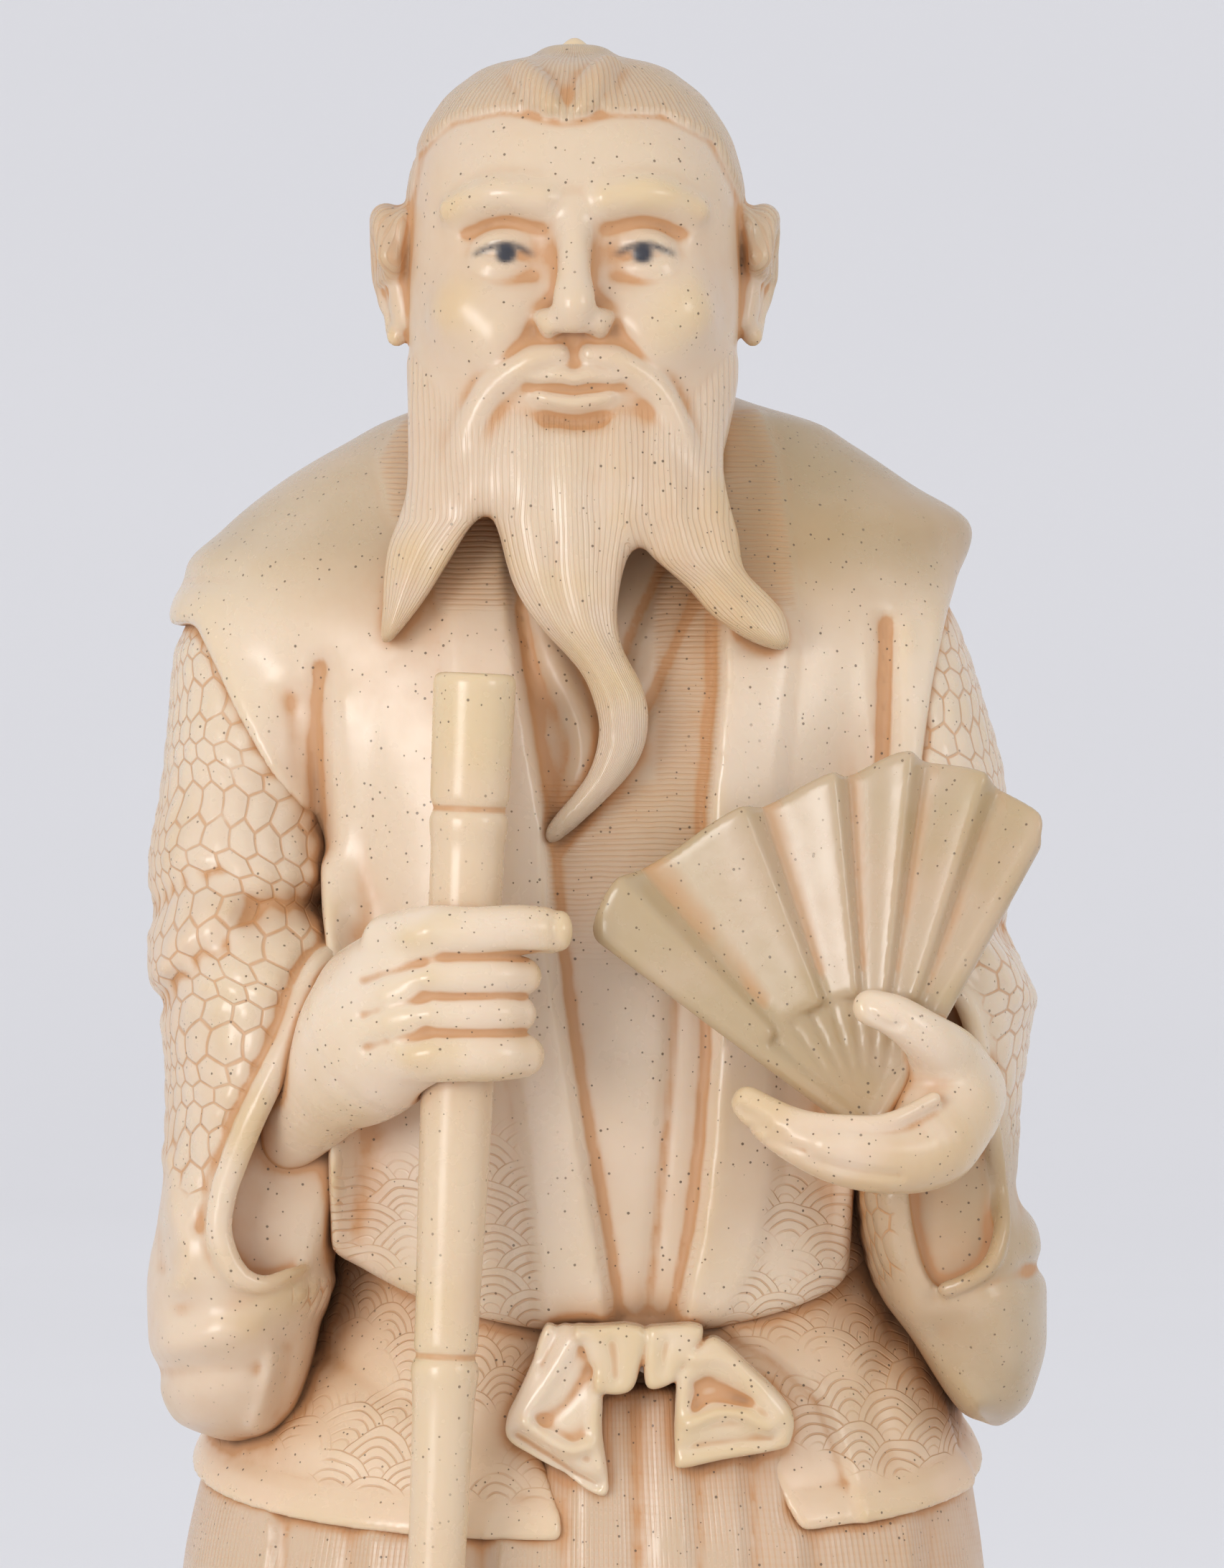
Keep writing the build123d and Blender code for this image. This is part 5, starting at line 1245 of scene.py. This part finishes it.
# Staff: a cane of bamboo in bone, loose in the fist and in the base, so that it draws out upwards.
# Its joints are marked by stained grooves, and its top is cut flat and worn bright.
cane = (
    (0, 1.6), (35, 1.82), (57, 1.98), (68, 2.12), (71.0, 2.24), (73, 2.2), (84, 2.4), (92, 2.5),
    (106, 2.52), (108.6, 2.62), (110.2, 2.72), (113, 2.76), (118.8, 2.86),
)
staff_length = 118.6
joint_places, groove_depth, groove_half = (31.0, 71.9, 109.3), 0.28, 0.32


def cane_joints(tree):
    """A stained groove at each joint of the cane."""
    ring = None
    for place in joint_places:
        line = (0.34 - (marked(tree, "rise") - place).size()).ramp(0.0, 0.26)
        ring = line if ring is None else ring.most(line)
    return ring, ring * -0.02


staff_bone = bone("staff_bone", cane_joints, Pale=(0.70, 0.535, 0.36))
blank = Blank((-16.5, -29.5, 4), (-3.5, -19, 126), 0.2)
radius, along = from_staff(blank)
rows = np.array(cane, "f4")
swell = ease(rows[:, 0], rows[:, 1], along)
for place in joint_places:
    swell = swell - groove_depth * bell(along - place, groove_half)
    swell = swell + 0.1 * bell(along - place + 1.2, 0.8)
blank.form = (radius - swell).astype("f4")
blank.form = common(blank.form, np.maximum(-along, along - staff_length), 0.7)
staff, points = carve_out(blank, "bamboo_staff", "staff", staff_bone, body="staff")
mark(staff, "rise", (points - staff_foot) @ staff_line)

# Pegs: short round pins of plain bone, glued in drilled holes and hidden when the figure is together.
# They hold the sections to one another. Nothing is carved on them, so the solids are shown as they are.
for name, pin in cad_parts.items():
    if name.endswith("_peg"):
        pin.data.materials.clear()
        pin.data.materials.append(bone(name + "_bone"))

# Grime and painted shade: old wax and grime gathered in every hollow and wherever two pieces meet, with the
# shade that falls there painted in as well.
# It is measured on the whole figure: the share of bone round each point, near by and further out.
room_low, room_pitch, room_cells = np.array((-38.0, -36.0, -2.0), "f4"), 0.5, (154, 140, 346)
# The staff slides in and out, so its hollows take little grime and little painted shade.
staff_grime_and_shade_cap = 0.04
room = np.zeros(room_cells, "f4")
for _, blank, _ in carved:
    held, near = [], blank.form
    for axis in range(3):
        places = (room_low[axis] + room_pitch * np.arange(room_cells[axis]) - blank.low[axis]) / blank.pitch
        held.append(np.flatnonzero((places >= 0) & (places < blank.form.shape[axis] - 1)))
        start = places[held[axis]].astype(int)
        past = (places[held[axis]] - start).astype("f4")
        past = past.reshape([-1 if other == axis else 1 for other in range(3)])
        near = near.take(start, axis) * (1 - past) + near.take(start + 1, axis) * past
    filled = np.clip(0.5 - near / room_pitch, 0, 1)
    room[np.ix_(*held)] = np.maximum(room[np.ix_(*held)], filled)
# These measures carry the painted shade and the grime into every piece's hollows.
for name, reach in (("hollow", 1), ("deep", 5)):
    share = blurred(blurred(room, reach), reach)
    for piece, _, points in carved:
        value = sampled(share, (points - room_low) / room_pitch) - 0.5
        mark(piece, name, np.minimum(value, staff_grime_and_shade_cap) if piece is staff else value)

# Camera, lamps and room: a level camera before the figure and two soft lamps.
# A pale sheet of paper lies under the figure and rolls up behind it.
sensor_height, seen_distance, seen_height = 36, 892, 109.2
camera = bpy.data.objects.new("camera", bpy.data.cameras.new("camera"))
camera.location = (0.0019, -0.9, 0.1164)
camera.rotation_euler = (radians(90), 0, 0)
camera.data.sensor_fit = "VERTICAL"
camera.data.sensor_height = sensor_height
camera.data.lens = sensor_height * seen_distance / seen_height
camera.data.clip_start = 0.01
bpy.context.scene.collection.objects.link(camera)
bpy.context.scene.camera = camera
bpy.context.scene.view_settings.view_transform = "Standard"

paper_half_width, paper_front, paper_bend, paper_back, paper_top = 5.0, -5.0, 2.6, 4.2, 4.0
bend_radius = paper_back - paper_bend
profile = [(paper_front, 0.0)]
for turn in np.linspace(0, pi / 2, 17):
    profile.append((paper_bend + bend_radius * sin(turn), bend_radius * (1 - cos(turn))))
profile.append((paper_back, paper_top))
mesh = bpy.data.meshes.new("paper")
corners = [(side * paper_half_width, y, z) for y, z in profile for side in (-1, 1)]
strips = [(2 * i, 2 * i + 1, 2 * i + 3, 2 * i + 2) for i in range(len(profile) - 1)]
mesh.from_pydata(corners, [], strips)
mesh.shade_smooth()
paper = bpy.data.objects.new("paper", mesh)
bpy.context.scene.collection.objects.link(paper)
material = bpy.data.materials.new("pale_paper")
material.use_nodes = True
sheet = material.node_tree.nodes["Principled BSDF"]
sheet.inputs["Roughness"].default_value = 0.9
sheet.inputs["Emission Strength"].default_value = 1.0
tree = material.node_tree
tint = mixed(tree, patches(tree, 3), (0.72, 0.72, 0.75), (0.75, 0.75, 0.78))
tree.links.new(tint, sheet.inputs["Base Color"])
ray = tree.nodes.new("ShaderNodeLightPath")
seen = Wire(tree, ray.outputs["Is Camera Ray"]).most(Wire(tree, ray.outputs["Is Glossy Ray"]))
seen = seen.most(Wire(tree, ray.outputs["Is Transmission Ray"]))
tree.links.new(mixed(tree, seen, (0.0, 0.0, 0.0), (0.12, 0.115, 0.11)), sheet.inputs["Emission Color"])
paper.data.materials.append(material)

for name, place, size, power in (
    ("left_lamp", (-0.44, -0.66, 0.2), 0.3, 2.3),
    ("right_lamp", (0.55, -0.45, 0.30), 0.22, 0.6),
):
    lamp = bpy.data.objects.new(name, bpy.data.lights.new(name, "AREA"))
    lamp.data.energy = power
    lamp.data.size = size
    lamp.location = place
    to_figure = np.array((0, 0, 0.1)) - np.array(place)
    lamp.rotation_euler = (
        np.arctan2(np.hypot(to_figure[0], to_figure[1]), -to_figure[2]),
        0,
        np.arctan2(to_figure[1], to_figure[0]) - pi / 2,
    )
    bpy.context.scene.collection.objects.link(lamp)
world = bpy.data.worlds.new("room")
world.use_nodes = True
world.node_tree.nodes["Background"].inputs["Color"].default_value = (0.96, 0.97, 1, 1)
world.node_tree.nodes["Background"].inputs["Strength"].default_value = 0.87
bpy.context.scene.world = world
